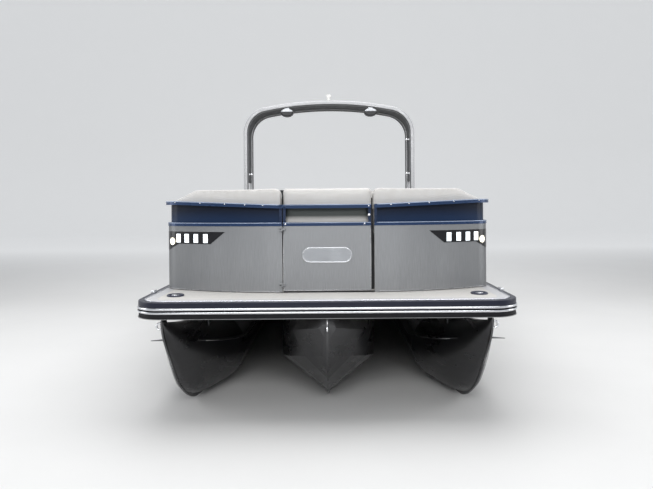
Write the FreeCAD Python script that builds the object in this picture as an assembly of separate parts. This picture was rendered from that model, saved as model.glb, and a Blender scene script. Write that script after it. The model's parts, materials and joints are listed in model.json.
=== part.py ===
"""Triple-tube pontoon boat: three welded aluminium tubes carry a flat deck, a railed fence with gates,
lounges, a low helm console, two swivel chairs, an arch and a tilted outboard motor.

Millimetres. +X is port, -Y is the bow, +Z is up. While it is built, Y is counted aft from the front of the
rub rail and Z from the floor under the keels; the finished pieces are moved so that the origin is under the middle.
"""

import math
import os

import FreeCAD
import Part

V = FreeCAD.Vector
UP = V(0, 0, 1)
AFT = V(0, 1, 0)
PORT = V(1, 0, 0)

# Clearances
SEAT_GAP = 0.3
PIN_RUN = 0.3
SWING_GAP = 5.0

# Deck
BEAM = 2590.0
DECK_LENGTH = 7600.0
DECK_TOP = 840.0
DECK_THICK = 30.0
DECK_CORNER = 200.0
STERN_CORNER = 90.0
TRIM_WIDTH = 80.0
TRIM_THICK = 4.0
WELL_WIDTH = 940.0
WELL_START = DECK_LENGTH - 540.0

# Rub rail: a dark band, a bright double bead and a black skirt with a lip
RAIL_WIDTH = 50.0
BAND_INSET = 7.0
BAND_HEIGHT = 34.0
BEAD_HEIGHT = 45.0
BEAD_GROOVE = 6.0
BEAD_ROUND = 8.0
BEAD_BACK_INSET = 14.0
SKIRT_INSET = 9.0
SKIRT_HEIGHT = 27.0
LIP_HEIGHT = 4.0
LIP_INSET = 4.0
LIP_REACH = 6.0

# Outer tubes
TUBE_RADIUS = 295.0
TUBE_X = BEAM / 2 - 310.0
TUBE_Z = 309.0
TUBE_END = DECK_LENGTH - 170.0
KEEL_WIDTH = 13.0
KEEL_DROP = 14.0
NOSE_LENGTH = 1000.0
STEM_X = TUBE_X + 104.0
STEM_TOP = 722.0
STRAKE_REACH = BEAM / 2 - 2.0
STRAKE_WIDTH = 45.0
STRAKE_HEIGHT = 24.0
STRAKE_Z = 400.0
STRAKE_RISE = 105.0
STRAKE_START = 380.0
RISER_SPREAD = 75.0
RISER_WALL = 8.0
MEMBER_BOTTOM = 722.0

# Centre tube
CENTRE_STEM = 30.0
CENTRE_HALF = 350.0
CENTRE_END = DECK_LENGTH - 700.0
CENTRE_KEEL_Z = 30.0
CENTRE_TOP_HALF = 210.0

# Cross members
MEMBER_WIDTH = 46.0
MEMBER_WALL = 6.0
MEMBER_PITCH = 610.0
FIRST_MEMBER = 330.0

# Fence
FENCE_HALF = BEAM / 2 - 58.0
FENCE_FRONT = 405.0
FENCE_END = DECK_LENGTH - 750.0
FENCE_THICK = 28.0
BOW_FLAT = 330.0
BOW_ARC = 1750.0
BOW_CORNER = 160.0
STERN_FENCE_CORNER = 100.0
FENCE_REACH = FENCE_HALF + 175.0  # half width of the boxes the fence is cut with
PANEL_FOOT = 13.0
RUN_FOOT = 4.0
PANEL_TOP = 482.0
MID_RAIL_TOP = 508.0
TOP_RAIL_BOTTOM = 610.0
TOP_RAIL_TOP = 638.0
TOP_RAIL_RISE = 32.0
RISE_START = 345.0
RISE_END = FENCE_HALF - 105.0
RISE_AFT = 1200.0
TOP_OVERHANG = 20.0
TOP_RAIL_DEPTH = 60.0
MID_OVERHANG = 4.0
INFILL_INSET = 20.0
INFILL_THICK = 5.0
POST_WIDTH = 20.0
POST_PITCH = 1150.0

# Gates
GATE_HALF = 318.5
GATE_HINGE_GAP = 7.0
GATE_LATCH_GAP = 24.0
SIDE_GATE_START = 0.371 * DECK_LENGTH
SIDE_GATE_WIDTH = 620.0
STERN_GATE_MIDDLE = 447.0 - FENCE_HALF
STERN_GATE_WIDTH = 560.0
SMALL_GATE_GAP = 8.0
HINGE_OUT = 30.0
HINGE_RADIUS = 7.0
HINGE_PIN = 3.5
KNUCKLE = 8.0
HINGE_PLAY = 0.8
HINGE_LEAF = 24.0
HINGE_HEIGHTS = (60.0, 460.0)

# Name plate, left blank
PLATE_WIDTH = 360.0
PLATE_HEIGHT = 112.0
PLATE_Z = 272.0
PLATE_THICK = 7.0
PLATE_RIM = 9.0
PLATE_SINK = 3.0

# Dock lights in the bow panels
LIGHT_TIP_X = FENCE_HALF - 488.0
LIGHT_TOP = 440.0
LIGHT_BOTTOM = 350.0
LIGHT_TAIL_Z = 300.0
LIGHT_LOWER_START = FENCE_HALF - 375.0
LIGHT_TAIL_X = FENCE_HALF - 115.0
LIGHT_DEPTH = 9.0
LIGHT_PROUD = 1.5
LED_X = (FENCE_HALF - 336.0, FENCE_HALF - 258.0, FENCE_HALF - 182.0, FENCE_HALF - 112.0)
LED_WIDTH = 35.0
LED_HEIGHT = 64.0
LED_LIFT = 9.0
LAMP_X = FENCE_HALF - 67.0
LAMP_Z = 366.0
LAMP_RADIUS = 27.0

# Cushions and lounges
CREST = 757.0
SIDE_CREST = 728.0
PAD_ROUND = 22.0
BACK_THICK = 130.0
BACK_GAP = 8.0
BACK_BOTTOM = 425.0
BACK_SLOPE_START = FENCE_HALF - 232.0
BACK_SLOPE_END = FENCE_HALF - 50.0
GATE_PAD_THICK = 112.0
GATE_PAD_BOTTOM = 330.0
BASE_HEIGHT = 290.0
BASE_WALL = 20.0
SEAT_THICK = 118.0
LOUNGE_AISLE = 430.0
LID_BARREL = 7.0
LID_KNUCKLE = 40.0
LID_EDGE_GAP = 1.0
SEAT_START = 770.0
LOUNGE_END = SIDE_GATE_START - 340.0
STERN_LOUNGE_START = FENCE_END - 870.0
STERN_LOUNGE_X = STERN_GATE_MIDDLE + STERN_GATE_WIDTH / 2 + 80.0

# Helm, chairs and arch
CONSOLE_HALF = 330.0
CONSOLE_X = 517.0 - FENCE_HALF
CONSOLE_START = 0.5237 * DECK_LENGTH
CONSOLE_DEPTH = 560.0
CONSOLE_HEIGHT = 720.0
CONSOLE_WALL = 8.0
WHEEL_RADIUS = 175.0
WHEEL_GRIP = 14.0
WHEEL_TILT = 28.0
WHEEL_Z = 668.0
SHAFT_RADIUS = 11.0
CHAIR_Y = (CONSOLE_START + 1100.0, CONSOLE_START + 720.0)
CHAIR_X = (CONSOLE_X + 20.0, FENCE_HALF - 597.0)
PEDESTAL_BASE = 165.0
PEDESTAL_RADIUS = 38.0
CHAIR_SEAT_Z = 372.0
ARCH_HALF = FENCE_HALF - 93.0
ARCH_TOP = 2033.0
ARCH_BOW = 4400.0
ARCH_CORNER = 360.0
ARCH_FACE = 58.0
ARCH_TUBE_DEPTH = 74.0
ARCH_START = CONSOLE_START - 80.0
ARCH_DEPTH = 560.0
ARCH_PANEL_INSET = 20.0
ARCH_PANEL_THICK = 14.0
ARCH_OPEN_TOP = 950.0
POD_X = 560.0
POD_RADIUS = 85.0
POD_HALF_HEIGHT = 52.0
POD_DEPTH = 105.0
ANCHOR_LIGHT_RADIUS = 30.0
ANCHOR_LIGHT_HEIGHT = 80.0

# Outboard motor
TILT_Y = DECK_LENGTH + 60.0
TILT_Z = 742.0
STORED_TILT = 55.0
TRANSOM_GAP = 60.0
MOUNT_HALF = 300.0
MOUNT_BOTTOM = 215.0
CLAMP_X = 125.0
CLAMP_THICK = 22.0
SWIVEL_HALF = 92.0
STEER_AFT = 92.0
STEER_RADIUS = 52.0
STEER_PIN = 20.0
YOKE_RADIUS = 44.0
YOKE_ARM = 40.0
YOKE_HEIGHT = 38.0
COLUMN_TOP = -30.0
COLUMN_BOTTOM = -400.0
COWL_HALF = 285.0
COWL_FRONT = -40.0
COWL_AFT = 600.0
COWL_BOTTOM = 160.0
COWL_TOP = 800.0
COWL_WALL = 8.0
PROP_Z = -840.0
PROP_RADIUS = 190.0
PROP_HUB = 55.0
PROP_START = 505.0
PROP_LENGTH = 120.0
PROP_BLADES = 3
PROP_SHAFT = 17.0
TORPEDO_RADIUS = 62.0

# Ladder, cleats and eyes
LADDER_X = WELL_WIDTH / 2 + 290.0
LADDER_HALF = 190.0
LADDER_LENGTH = 640.0
LADDER_TUBE = 14.0
LADDER_STEPS = 4
LADDER_LIFT = 34.0
CLEAT_X = BEAM / 2 - 225.0
CLEAT_Y = 300.0
CLEAT_RADIUS = 56.0
CLEAT_RIM = 5.0
EYE_RADIUS = 28.0
EYE_BAR = 7.0
BOW_EYE_RADIUS = 22.0
FITTING_Y = 450.0


def block(x0, x1, y0, y1, z0, z1):
    """A box between two values on each axis."""
    return Part.makeBox(x1 - x0, y1 - y0, z1 - z0, V(x0, y0, z0))


def deck_block(x0, x1, y0, y1, z0, z1):
    """A box whose heights are counted from the deck's surface."""
    return block(x0, x1, y0, y1, DECK_TOP + z0, DECK_TOP + z1)


def rod(start, end, radius):
    """A round bar between two points."""
    run = end - start
    return Part.makeCylinder(radius, run.Length, start, run)


def fused(solids):
    """One shape from several that overlap."""
    return solids[0].fuse(list(solids[1:])).removeSplitter() if len(solids) > 1 else solids[0]


def loose(solids):
    """Several solids of one node that don't touch."""
    found = []
    for solid in solids:
        found.extend(solid.Solids)
    return Part.makeCompound(found)


def mirrored(shape):
    """The same shape on the other side of the boat."""
    return shape.mirror(V(0, 0, 0), PORT)


def polygon(points):
    """A closed flat face through the points."""
    return Part.Face(Part.makePolygon(list(points) + [points[0]]))


def across(points, half):
    """A side profile of (aft, up) pairs, made solid from one half-width to the other."""
    return prism(polygon([V(-half, y, z) for y, z in points]), PORT * (2 * half))


def outward(solid):
    """The same solid with its faces turned outwards."""
    return solid if solid.Volume > 0 else solid.reversed()


def prism(face, run):
    """A face drawn out along a direction."""
    return outward(face.extrude(run))


def loft(wires, ruled=True):
    """A solid through closed wires, straight between them when ruled."""
    return outward(Part.makeLoft(wires, True, ruled))


def line(start, end):
    return Part.LineSegment(start, end).toShape()


def arc(centre, radius, start_deg, end_deg, flat=UP):
    """An arc in a level plane, or in the XZ plane when flat is AFT."""
    points = []
    for share in (0.0, 0.5, 1.0):
        a = math.radians(start_deg + (end_deg - start_deg) * share)
        run = V(math.cos(a), math.sin(a), 0) if flat == UP else V(math.cos(a), 0, math.sin(a))
        points.append(centre + run * radius)
    return Part.Arc(*points).toShape()


def upright(edge):
    """True for a straight vertical edge."""
    a, b = edge.Vertexes[0].Point, edge.Vertexes[-1].Point
    return (b - a).Length > 1 and abs((b - a).normalize().z) > 0.999


def rounded(shape, radius, choose=lambda edge: True):
    """Rounds the edges that choose picks."""
    return shape.makeFillet(radius, [e for e in shape.Edges if choose(e)])


def outer_rim(z, reach):
    """Picks the edges at one height that reach out to the given half-width."""
    return lambda e: abs(e.BoundBox.ZMin - z) < 0.01 and abs(e.BoundBox.ZMax - z) < 0.01 and (
        max(abs(e.BoundBox.XMin), abs(e.BoundBox.XMax)) > reach - 0.01)


def outline(half, front, end, bow_radius, stern_radius):
    """The deck's level outline: straight sides and four round corners."""
    r, s = bow_radius, stern_radius
    edges = [
        line(V(-half + r, front, 0), V(half - r, front, 0)),
        arc(V(half - r, front + r, 0), r, -90, 0),
        line(V(half, front + r, 0), V(half, end - s, 0)),
        arc(V(half - s, end - s, 0), s, 0, 90),
        line(V(half - s, end, 0), V(-half + s, end, 0)),
        arc(V(-half + s, end - s, 0), s, 90, 180),
        line(V(-half, end - s, 0), V(-half, front + r, 0)),
        arc(V(-half + r, front + r, 0), r, 180, 270),
    ]
    return Part.Face(Part.Wire(edges))


def deck_area(inset):
    """The deck's outline, that far in from the rub rail's outer face."""
    bow, stern = max(DECK_CORNER - inset, 12.0), max(STERN_CORNER - inset, 12.0)
    return outline(BEAM / 2 - inset, inset, DECK_LENGTH - inset, bow, stern)


def deck_ring(outer, inner, z0, z1):
    """A ring round the deck, open at the motor well."""
    ring = deck_area(outer).cut(deck_area(inner))
    ring.translate(UP * z0)
    return prism(ring, UP * (z1 - z0)).cut(well())


def well(spare=0.0):
    half = WELL_WIDTH / 2 + spare
    return block(-half, half, WELL_START - spare, DECK_LENGTH + 200, 0, 3 * DECK_TOP)


def fence_area(inset):
    """The area inside the fence: flat at the gate, one long bow arc each side, then a tight corner."""
    half, front, end = FENCE_HALF - inset, FENCE_FRONT + inset, FENCE_END - inset
    r, s = max(BOW_CORNER - inset, 20.0), max(STERN_FENCE_CORNER - inset, 20.0)
    long_y = FENCE_FRONT + BOW_ARC
    reach, side = BOW_ARC - inset - r, half - r - BOW_FLAT
    corner_y = long_y - math.sqrt(reach**2 - side**2)
    turn = math.degrees(math.atan2(corner_y - long_y, side))
    starboard_turn = 180 - turn
    edges = [
        line(V(-BOW_FLAT, front, 0), V(BOW_FLAT, front, 0)),
        arc(V(BOW_FLAT, long_y, 0), BOW_ARC - inset, -90, turn),
        arc(V(half - r, corner_y, 0), r, turn, 0),
        line(V(half, corner_y, 0), V(half, end - s, 0)),
        arc(V(half - s, end - s, 0), s, 0, 90),
        line(V(half - s, end, 0), V(-half + s, end, 0)),
        arc(V(-half + s, end - s, 0), s, 90, 180),
        line(V(-half, end - s, 0), V(-half, corner_y, 0)),
        arc(V(-half + r, corner_y, 0), r, 180, starboard_turn),
        arc(V(-BOW_FLAT, long_y, 0), BOW_ARC - inset, starboard_turn, 270),
    ]
    return Part.Face(Part.Wire(edges))


def fence_band(outer, inner, z0, z1):
    """A wall that follows the fence, between two insets and two heights above the deck."""
    ring = fence_area(outer).cut(fence_area(inner))
    ring.translate(UP * (DECK_TOP + z0))
    return prism(ring, UP * (z1 - z0))


def fence_fill(inset, z0, z1):
    """All of the space inside the fence, that far in from its face."""
    area = fence_area(inset)
    area.translate(UP * (DECK_TOP + z0))
    return prism(area, UP * (z1 - z0))


# Stem line of an outer tube, as (aft, height under the deck) pairs
STEM = ((18, 121), (40, 224), (122, 357), (238, 526), (338, 648), (467, 747), (607, 812), (800, 832))


def nose_share(y):
    """How far along the nose a station lies, from 0 at the stem to 1 at the round tube."""
    return min(max((y - STEM[0][0]) / (NOSE_LENGTH - STEM[0][0]), 0.0), 1.0)


def nose_middle(y):
    """The tube's middle line bends outboard towards the stem."""
    return STEM_X + (TUBE_X - STEM_X) * nose_share(y)


def stem_height(y):
    """The stem bar's lower edge, read off the stem line."""
    for (y0, d0), (y1, d1) in zip(STEM, STEM[1:]):
        if y <= y1:
            return DECK_TOP - (d0 + (d1 - d0) * (y - y0) / (y1 - y0))
    return 0.0


def nose_section(y):
    """One closed section of the nose: a V at the stem that fills out to the round tube."""
    share = nose_share(y)
    full = math.sin(share * math.pi / 2) ** 0.85
    half = KEEL_WIDTH / 2 + (TUBE_RADIUS - KEEL_WIDTH / 2) * share
    low = stem_height(y) + KEEL_DROP if y < NOSE_LENGTH else TUBE_Z - TUBE_RADIUS
    top = (TUBE_Z + TUBE_RADIUS) * full + (STEM_TOP - 4) * (1 - full)
    middle = low + (top - low) * (0.5 + 0.12 * (1 - share))
    sides = ([], [])
    for step in range(9):
        t = step / 8
        a = t * math.pi
        height = -math.cos(a)
        width = math.sin(a)
        if height < 0:
            width = width * full + (1 + height) * (1 - full)
        z = middle + height * (middle - low if height < 0 else top - middle)
        sides[0].append(V(nose_middle(y) + half * width, y, z))
        sides[1].append(V(nose_middle(y) - half * width, y, z))
    curves = []
    for points in (sides[0], sides[1][::-1]):
        curve = Part.BSplineCurve()
        curve.interpolate(points)
        curves.append(curve.toShape())
    return Part.Wire(curves)


def make_stem_bar():
    """The thin bar up the stem and under the keel, turned outboard with the nose."""
    run = [V(0, y, DECK_TOP - d) for y, d in STEM] + [V(0, NOSE_LENGTH, 0)]
    curve = Part.BSplineCurve()
    curve.interpolate(run)
    back = [V(0, NOSE_LENGTH, 60), V(0, 620, 90), V(0, 300, 330), V(0, 90, run[0].z)]
    edges = [curve.toShape()]
    corners = [run[-1]] + back + [run[0]]
    edges += [line(a, b) for a, b in zip(corners, corners[1:])]
    nose = prism(Part.Face(Part.Wire(edges)), PORT * KEEL_WIDTH)
    nose.translate(V(TUBE_X - KEEL_WIDTH / 2, 0, 0))
    turn = math.degrees(math.atan2(STEM_X - TUBE_X, NOSE_LENGTH - STEM[0][0]))
    nose.rotate(V(TUBE_X, NOSE_LENGTH, 0), UP, turn)
    keel = block(TUBE_X - KEEL_WIDTH / 2, TUBE_X + KEEL_WIDTH / 2, NOSE_LENGTH - 5, TUBE_END - 60, 0, 60)
    return nose, keel


def make_strake(side):
    """A lifting strake: a wedge that climbs the nose and runs level along the tube."""
    wires = []
    for y in (STRAKE_START, STRAKE_START + 70, 620.0, 800.0, NOSE_LENGTH, TUBE_END - 250):
        share = min((y - STRAKE_START) / (NOSE_LENGTH - STRAKE_START), 1.0)
        z = STRAKE_Z + STRAKE_RISE * (1 - share) ** 1.6
        half = KEEL_WIDTH / 2 + (TUBE_RADIUS - KEEL_WIDTH / 2) * nose_share(y)
        skin = nose_middle(y) + side * half * math.sqrt(1 - ((z - TUBE_Z) / TUBE_RADIUS) ** 2)
        tip = STRAKE_REACH if side > 0 else skin - STRAKE_WIDTH
        if y == STRAKE_START:
            tip = skin + side * 18
        root = skin - side * (15 + 30 * share)
        wires.append(Part.makePolygon([V(root, y, z), V(tip, y, z), V(tip, y, z + 5),
                                       V(root, y, z + STRAKE_HEIGHT), V(root, y, z)]))
    return loft(wires)


def make_outer_tube():
    """One port tube with its nose, stem bar, strakes and the two riser walls on top."""
    stations = [30.0, 90.0, 200.0, 340.0, 520.0, 740.0, NOSE_LENGTH]
    nose = loft([nose_section(y) for y in stations], ruled=False)
    body = prism(Part.Face(nose_section(NOSE_LENGTH)), AFT * (TUBE_END - NOSE_LENGTH))
    stem, keel = make_stem_bar()
    lid = TUBE_Z + TUBE_RADIUS
    walls = [block(TUBE_X + x - RISER_WALL / 2, TUBE_X + x + RISER_WALL / 2, 620, TUBE_END - 120,
                   lid - 60, MEMBER_BOTTOM - SEAT_GAP) for x in (-RISER_SPREAD, RISER_SPREAD)]
    return fused([nose, body, stem, keel, make_strake(1), make_strake(-1)] + walls)


# Stations of the middle hull: Y, keel height, chine height and width, shoulder height and width.
# Heights are shares of the stem's height and widths of the full half width. Ahead of the point where
# the stem passes the chine's level the chine lies on the straight flank, so its edge fades out there.
CENTRE_ROWS = ((CENTRE_STEM, 0.89, 0.91, 0.0, 0.95, 0.0), (75.0, 0.77, 0.80, 0.035, 0.90, 0.15),
               (180.0, 0.54, 0.595, 0.10, 0.86, 0.42), (250.0, 0.415, 0.565, 0.25, 0.835, 0.57),
               (330.0, 0.30, 0.535, 0.46, 0.81, 0.71), (500.0, 0.115, 0.475, 0.80, 0.78, 0.90),
               (700.0, 0.0, 0.415, 1.0, 0.766, 1.0), (CENTRE_END, 0.0, 0.415, 1.0, 0.766, 1.0))


def make_centre_tube():
    """The middle hull: a V bottom under level chines, full flanks that meet in a raked stem."""
    stem_z = STEM_TOP - CENTRE_KEEL_Z
    wires = []
    for y, low, chine, out, shoulder, full in CENTRE_ROWS:
        heights = [CENTRE_KEEL_Z + stem_z * share for share in (low, chine, shoulder)] + [MEMBER_BOTTOM - SEAT_GAP]
        top = CENTRE_TOP_HALF / CENTRE_HALF * full
        widths = [0] + [KEEL_WIDTH / 2 + (CENTRE_HALF - KEEL_WIDTH / 2) * share for share in (out, full, top)]
        port = [V(x, y, z) for x, z in zip(widths, heights)]
        points = port + [V(-p.x, p.y, p.z) for p in reversed(port[1:])]
        wires.append(Part.makePolygon(points + [points[0]]))
    keel = [V(-KEEL_WIDTH / 2, row[0], CENTRE_KEEL_Z + stem_z * row[1] - KEEL_DROP) for row in CENTRE_ROWS]
    keel += [p + UP * 50 for p in reversed(keel)]
    return fused([loft(wires), prism(polygon(keel), PORT * KEEL_WIDTH)])


def member_stations():
    count = int((DECK_LENGTH - FIRST_MEMBER - 150) // MEMBER_PITCH) + 1
    return [FIRST_MEMBER + i * MEMBER_PITCH for i in range(count)]


def make_cross_members():
    """Channels across the tubes, open below, shorter where the motor well is."""
    top = DECK_TOP - DECK_THICK - SEAT_GAP
    half = BEAM / 2 - RAIL_WIDTH - LIP_REACH - SEAT_GAP
    found = []
    for y in member_stations():
        reach = half
        if y < DECK_CORNER + 150:
            reach = half - 90
        bar = block(-reach, reach, y - MEMBER_WIDTH / 2, y + MEMBER_WIDTH / 2, MEMBER_BOTTOM, top)
        inside = block(-reach - 1, reach + 1, y - MEMBER_WIDTH / 2 + MEMBER_WALL,
                       y + MEMBER_WIDTH / 2 - MEMBER_WALL, MEMBER_BOTTOM - 1, top - MEMBER_WALL)
        found.append(bar.cut(inside))
    return loose([found[0].cut(well(12.0))] + [bar.cut(well(12.0)) for bar in found[1:]])


def make_deck():
    """The deck slab with a shallow rebate for the edge trim."""
    area = deck_area(RAIL_WIDTH + SEAT_GAP)
    area.translate(UP * (DECK_TOP - DECK_THICK))
    slab = prism(area, UP * DECK_THICK).cut(well())
    rebate = deck_ring(RAIL_WIDTH - 1, RAIL_WIDTH + TRIM_WIDTH, DECK_TOP - TRIM_THICK, DECK_TOP + 1)
    pits = [rod(V(x, CLEAT_Y, DECK_TOP - 12), V(x, CLEAT_Y, DECK_TOP + 1), CLEAT_RADIUS)
            for x in (-CLEAT_X, CLEAT_X)]
    return slab.cut([rebate] + pits)


def make_deck_trim():
    return deck_ring(RAIL_WIDTH + SEAT_GAP, RAIL_WIDTH + TRIM_WIDTH - SEAT_GAP,
                     DECK_TOP - TRIM_THICK + SEAT_GAP, DECK_TOP)


def make_rub_rail():
    """Band, double bead and skirt, one under the other round the deck."""
    band_low = DECK_TOP - BAND_HEIGHT
    band = deck_ring(BAND_INSET, RAIL_WIDTH, band_low, DECK_TOP)
    band = rounded(band, 6.0, outer_rim(DECK_TOP, BEAM / 2 - BAND_INSET - DECK_CORNER))
    bead_high = band_low - SEAT_GAP
    bead_low = bead_high - BEAD_HEIGHT
    half_bead = (BEAD_HEIGHT - BEAD_GROOVE - 4) / 2
    beads = [deck_ring(BEAD_BACK_INSET, RAIL_WIDTH, bead_low, bead_high)]
    for low in (bead_low + 2, bead_high - 2 - half_bead):
        bead = deck_ring(0, BEAD_BACK_INSET + 4, low, low + half_bead)
        beads.append(rounded(bead, BEAD_ROUND - 1, lambda e: outside_edge(e, low, half_bead)))
    skirt_high = bead_low - SEAT_GAP
    skirt_low = skirt_high - SKIRT_HEIGHT
    skirt = deck_ring(SKIRT_INSET, RAIL_WIDTH, skirt_low, skirt_high)
    lip = deck_ring(LIP_INSET, RAIL_WIDTH + LIP_REACH, skirt_low - LIP_HEIGHT, skirt_low - SEAT_GAP)
    return band, fused(beads), skirt, lip


def outside_edge(edge, low, height):
    """True for the level edges on the outer face of a bead ring."""
    box = edge.BoundBox
    if box.ZMax - box.ZMin > 0.01 or min(abs(box.ZMin - low), abs(box.ZMin - low - height)) > 0.01:
        return False
    middle = edge.valueAt((edge.FirstParameter + edge.LastParameter) / 2)
    return not deck_area(3.0).isInside(V(middle.x, middle.y, 0), 0.1, True)


# Fence runs: each is cut out of one closed band by the box it lies in
def fence_runs():
    side_end = SIDE_GATE_START + SIDE_GATE_WIDTH
    left = STERN_GATE_MIDDLE - STERN_GATE_WIDTH / 2
    right = STERN_GATE_MIDDLE + STERN_GATE_WIDTH / 2
    low, high = DECK_TOP, DECK_TOP + 900
    opening = GATE_HALF + GATE_HINGE_GAP
    latch = GATE_HALF + GATE_LATCH_GAP
    split, back = FENCE_END - 200, FENCE_END + 200
    corner = block(-FENCE_REACH, left, split, back, low, high)
    return {
        "starboard": [block(-FENCE_REACH, -opening, 0, split, low, high), corner],
        "port_bow": [block(latch, FENCE_REACH, 0, SIDE_GATE_START, low, high)],
        "port_aft": [block(FENCE_HALF / 2, FENCE_REACH, side_end, back, low, high),
                     block(right, FENCE_HALF / 2 + 100, split, back, low, high)],
    }


def in_run(shape, boxes):
    pieces = [shape.common(b) for b in boxes]
    return pieces[0] if len(pieces) == 1 else fused(pieces)


def climbing(z0, z1, foot=None):
    """A slab over the whole boat that climbs from the gate to the bow corners; foot gives it a level underside."""
    spots = [(-FENCE_REACH, TOP_RAIL_RISE), (-RISE_END, TOP_RAIL_RISE), (-RISE_START, 0),
             (RISE_START, 0), (RISE_END, TOP_RAIL_RISE), (FENCE_REACH, TOP_RAIL_RISE)]
    over = [V(x, 0, DECK_TOP + z1 + lift) for x, lift in spots]
    under = [V(x, 0, DECK_TOP + (z0 + lift if foot is None else foot)) for x, lift in reversed(spots)]
    low = z0 + TOP_RAIL_RISE if foot is None else foot
    aft = deck_block(-FENCE_REACH, FENCE_REACH, RISE_AFT, DECK_LENGTH, low, z1 + TOP_RAIL_RISE)
    return prism(polygon(over + under), AFT * RISE_AFT).fuse(aft)


def top_rail():
    band = fence_band(-TOP_OVERHANG, TOP_RAIL_DEPTH - TOP_OVERHANG, TOP_RAIL_BOTTOM, TOP_RAIL_TOP + TOP_RAIL_RISE)
    return band.common(climbing(TOP_RAIL_BOTTOM, TOP_RAIL_TOP))


def mid_rail():
    return fence_band(-MID_OVERHANG, FENCE_THICK, PANEL_TOP, MID_RAIL_TOP)


def panel_wall(foot=PANEL_FOOT):
    return fence_band(0, FENCE_THICK, foot, PANEL_TOP)


def infill_wall():
    foot, head = MID_RAIL_TOP + SEAT_GAP, TOP_RAIL_BOTTOM - SEAT_GAP
    return fence_band(INFILL_INSET, INFILL_INSET + INFILL_THICK, foot, head + TOP_RAIL_RISE).common(
        climbing(foot, head, foot))


def post_wall():
    foot, head = MID_RAIL_TOP - 2, TOP_RAIL_BOTTOM + 2
    return fence_band(2, FENCE_THICK, foot, head + TOP_RAIL_RISE).common(climbing(foot, head, foot))


def post_boxes():
    """Where posts stand: by each gate and along the sides."""
    wide, low, high = POST_WIDTH, MID_RAIL_TOP - 2, TOP_RAIL_TOP + TOP_RAIL_RISE
    opening, latch = GATE_HALF + GATE_HINGE_GAP, GATE_HALF + GATE_LATCH_GAP
    side_end = SIDE_GATE_START + SIDE_GATE_WIDTH
    found = [deck_block(-opening - wide, -opening, 0, 600, low, high),
             deck_block(latch, latch + wide, 0, 600, low, high)]
    x0, x1 = FENCE_HALF - 60, FENCE_HALF + 10
    for y in (SIDE_GATE_START - wide, side_end):
        found.append(deck_block(x0, x1, y, y + wide, low, high))
    start, end = 900.0, FENCE_END - STERN_FENCE_CORNER - 60
    count = round((end - start) / POST_PITCH)
    for i in range(count + 1):
        y = start + (end - start) * i / count
        found.append(deck_block(-x1, -x0, y, y + wide, low, high))
        if not SIDE_GATE_START - 120 < y < side_end + 120:
            found.append(deck_block(x0, x1, y, y + wide, low, high))
    gate_half = STERN_GATE_WIDTH / 2
    for x in (STERN_GATE_MIDDLE - gate_half - wide, STERN_GATE_MIDDLE + gate_half, 120.0, FENCE_HALF - 465):
        found.append(deck_block(x, x + wide, FENCE_END - 60, FENCE_END + 10, low, high))
    return found


def fence_feet():
    """Short feet that lift the panels off the deck so that it drains."""
    found = []
    for y in range(1000, int(FENCE_END) - 200, 900):
        for x0 in (-FENCE_HALF, FENCE_HALF - FENCE_THICK):
            found.append(deck_block(x0, x0 + FENCE_THICK, y, y + 60, SEAT_GAP, RUN_FOOT))
    for x in (165 - FENCE_HALF, -700, -380, 350, 670, FENCE_HALF - 195):
        ring = fence_band(0, FENCE_THICK, SEAT_GAP, RUN_FOOT)
        found.append(ring.common(deck_block(x, x + 30, 0, 900, 0, 50)))
    for x in (75 - FENCE_HALF, STERN_LOUNGE_X - 50, 0, 500, FENCE_HALF - 225):
        found.append(deck_block(x, x + 60, FENCE_END - FENCE_THICK, FENCE_END, SEAT_GAP, RUN_FOOT))
    return fused([loose(found)])


def chevron(spare):
    """The swept shape of one bow light, as a prism along the boat."""
    top, low, tail = LIGHT_TOP + spare, LIGHT_BOTTOM - spare, LIGHT_TAIL_Z - spare
    points = [(LIGHT_TIP_X - 2 * spare, top), (FENCE_REACH, top), (FENCE_REACH, tail), (LIGHT_TAIL_X + 90, tail),
              (LIGHT_TAIL_X, low), (LIGHT_LOWER_START - 2 * spare, low)]
    return prism(polygon([V(x, 0, DECK_TOP + z) for x, z in points]), AFT * 700)


def light_recess():
    """What the port light takes out of the panel's face."""
    band = fence_band(-5, LIGHT_DEPTH + SEAT_GAP, LIGHT_TAIL_Z - 5, LIGHT_TOP + 5)
    return band.common(chevron(SEAT_GAP))


def make_bow_light():
    """The port light's housing, and its four bars and round lamp."""
    proud = fence_band(-LIGHT_PROUD, LIGHT_DEPTH, LIGHT_TAIL_Z, LIGHT_TOP)
    housing = proud.common(chevron(0))
    bars = []
    lens = fence_band(-LIGHT_PROUD - 2, LIGHT_DEPTH - 3, LIGHT_BOTTOM + LED_LIFT, LIGHT_BOTTOM + LED_LIFT + LED_HEIGHT)
    for x in LED_X:
        bars.append(lens.common(deck_block(x - LED_WIDTH / 2, x + LED_WIDTH / 2, 0, 800, 0, 600)))
    lamp_y = FENCE_FRONT + 205
    middle = V(LAMP_X, lamp_y + 30, DECK_TOP + LAMP_Z)
    barrel = rod(middle, middle + V(45, -90, 0), LAMP_RADIUS)
    lamp = fence_band(-LIGHT_PROUD - 6, LIGHT_DEPTH - 3, LAMP_Z - 60, LAMP_Z + 60).common(barrel)
    pockets = [b.copy() for b in bars] + [lamp.copy()]
    return housing.cut(pockets), loose(bars + [lamp])


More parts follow.
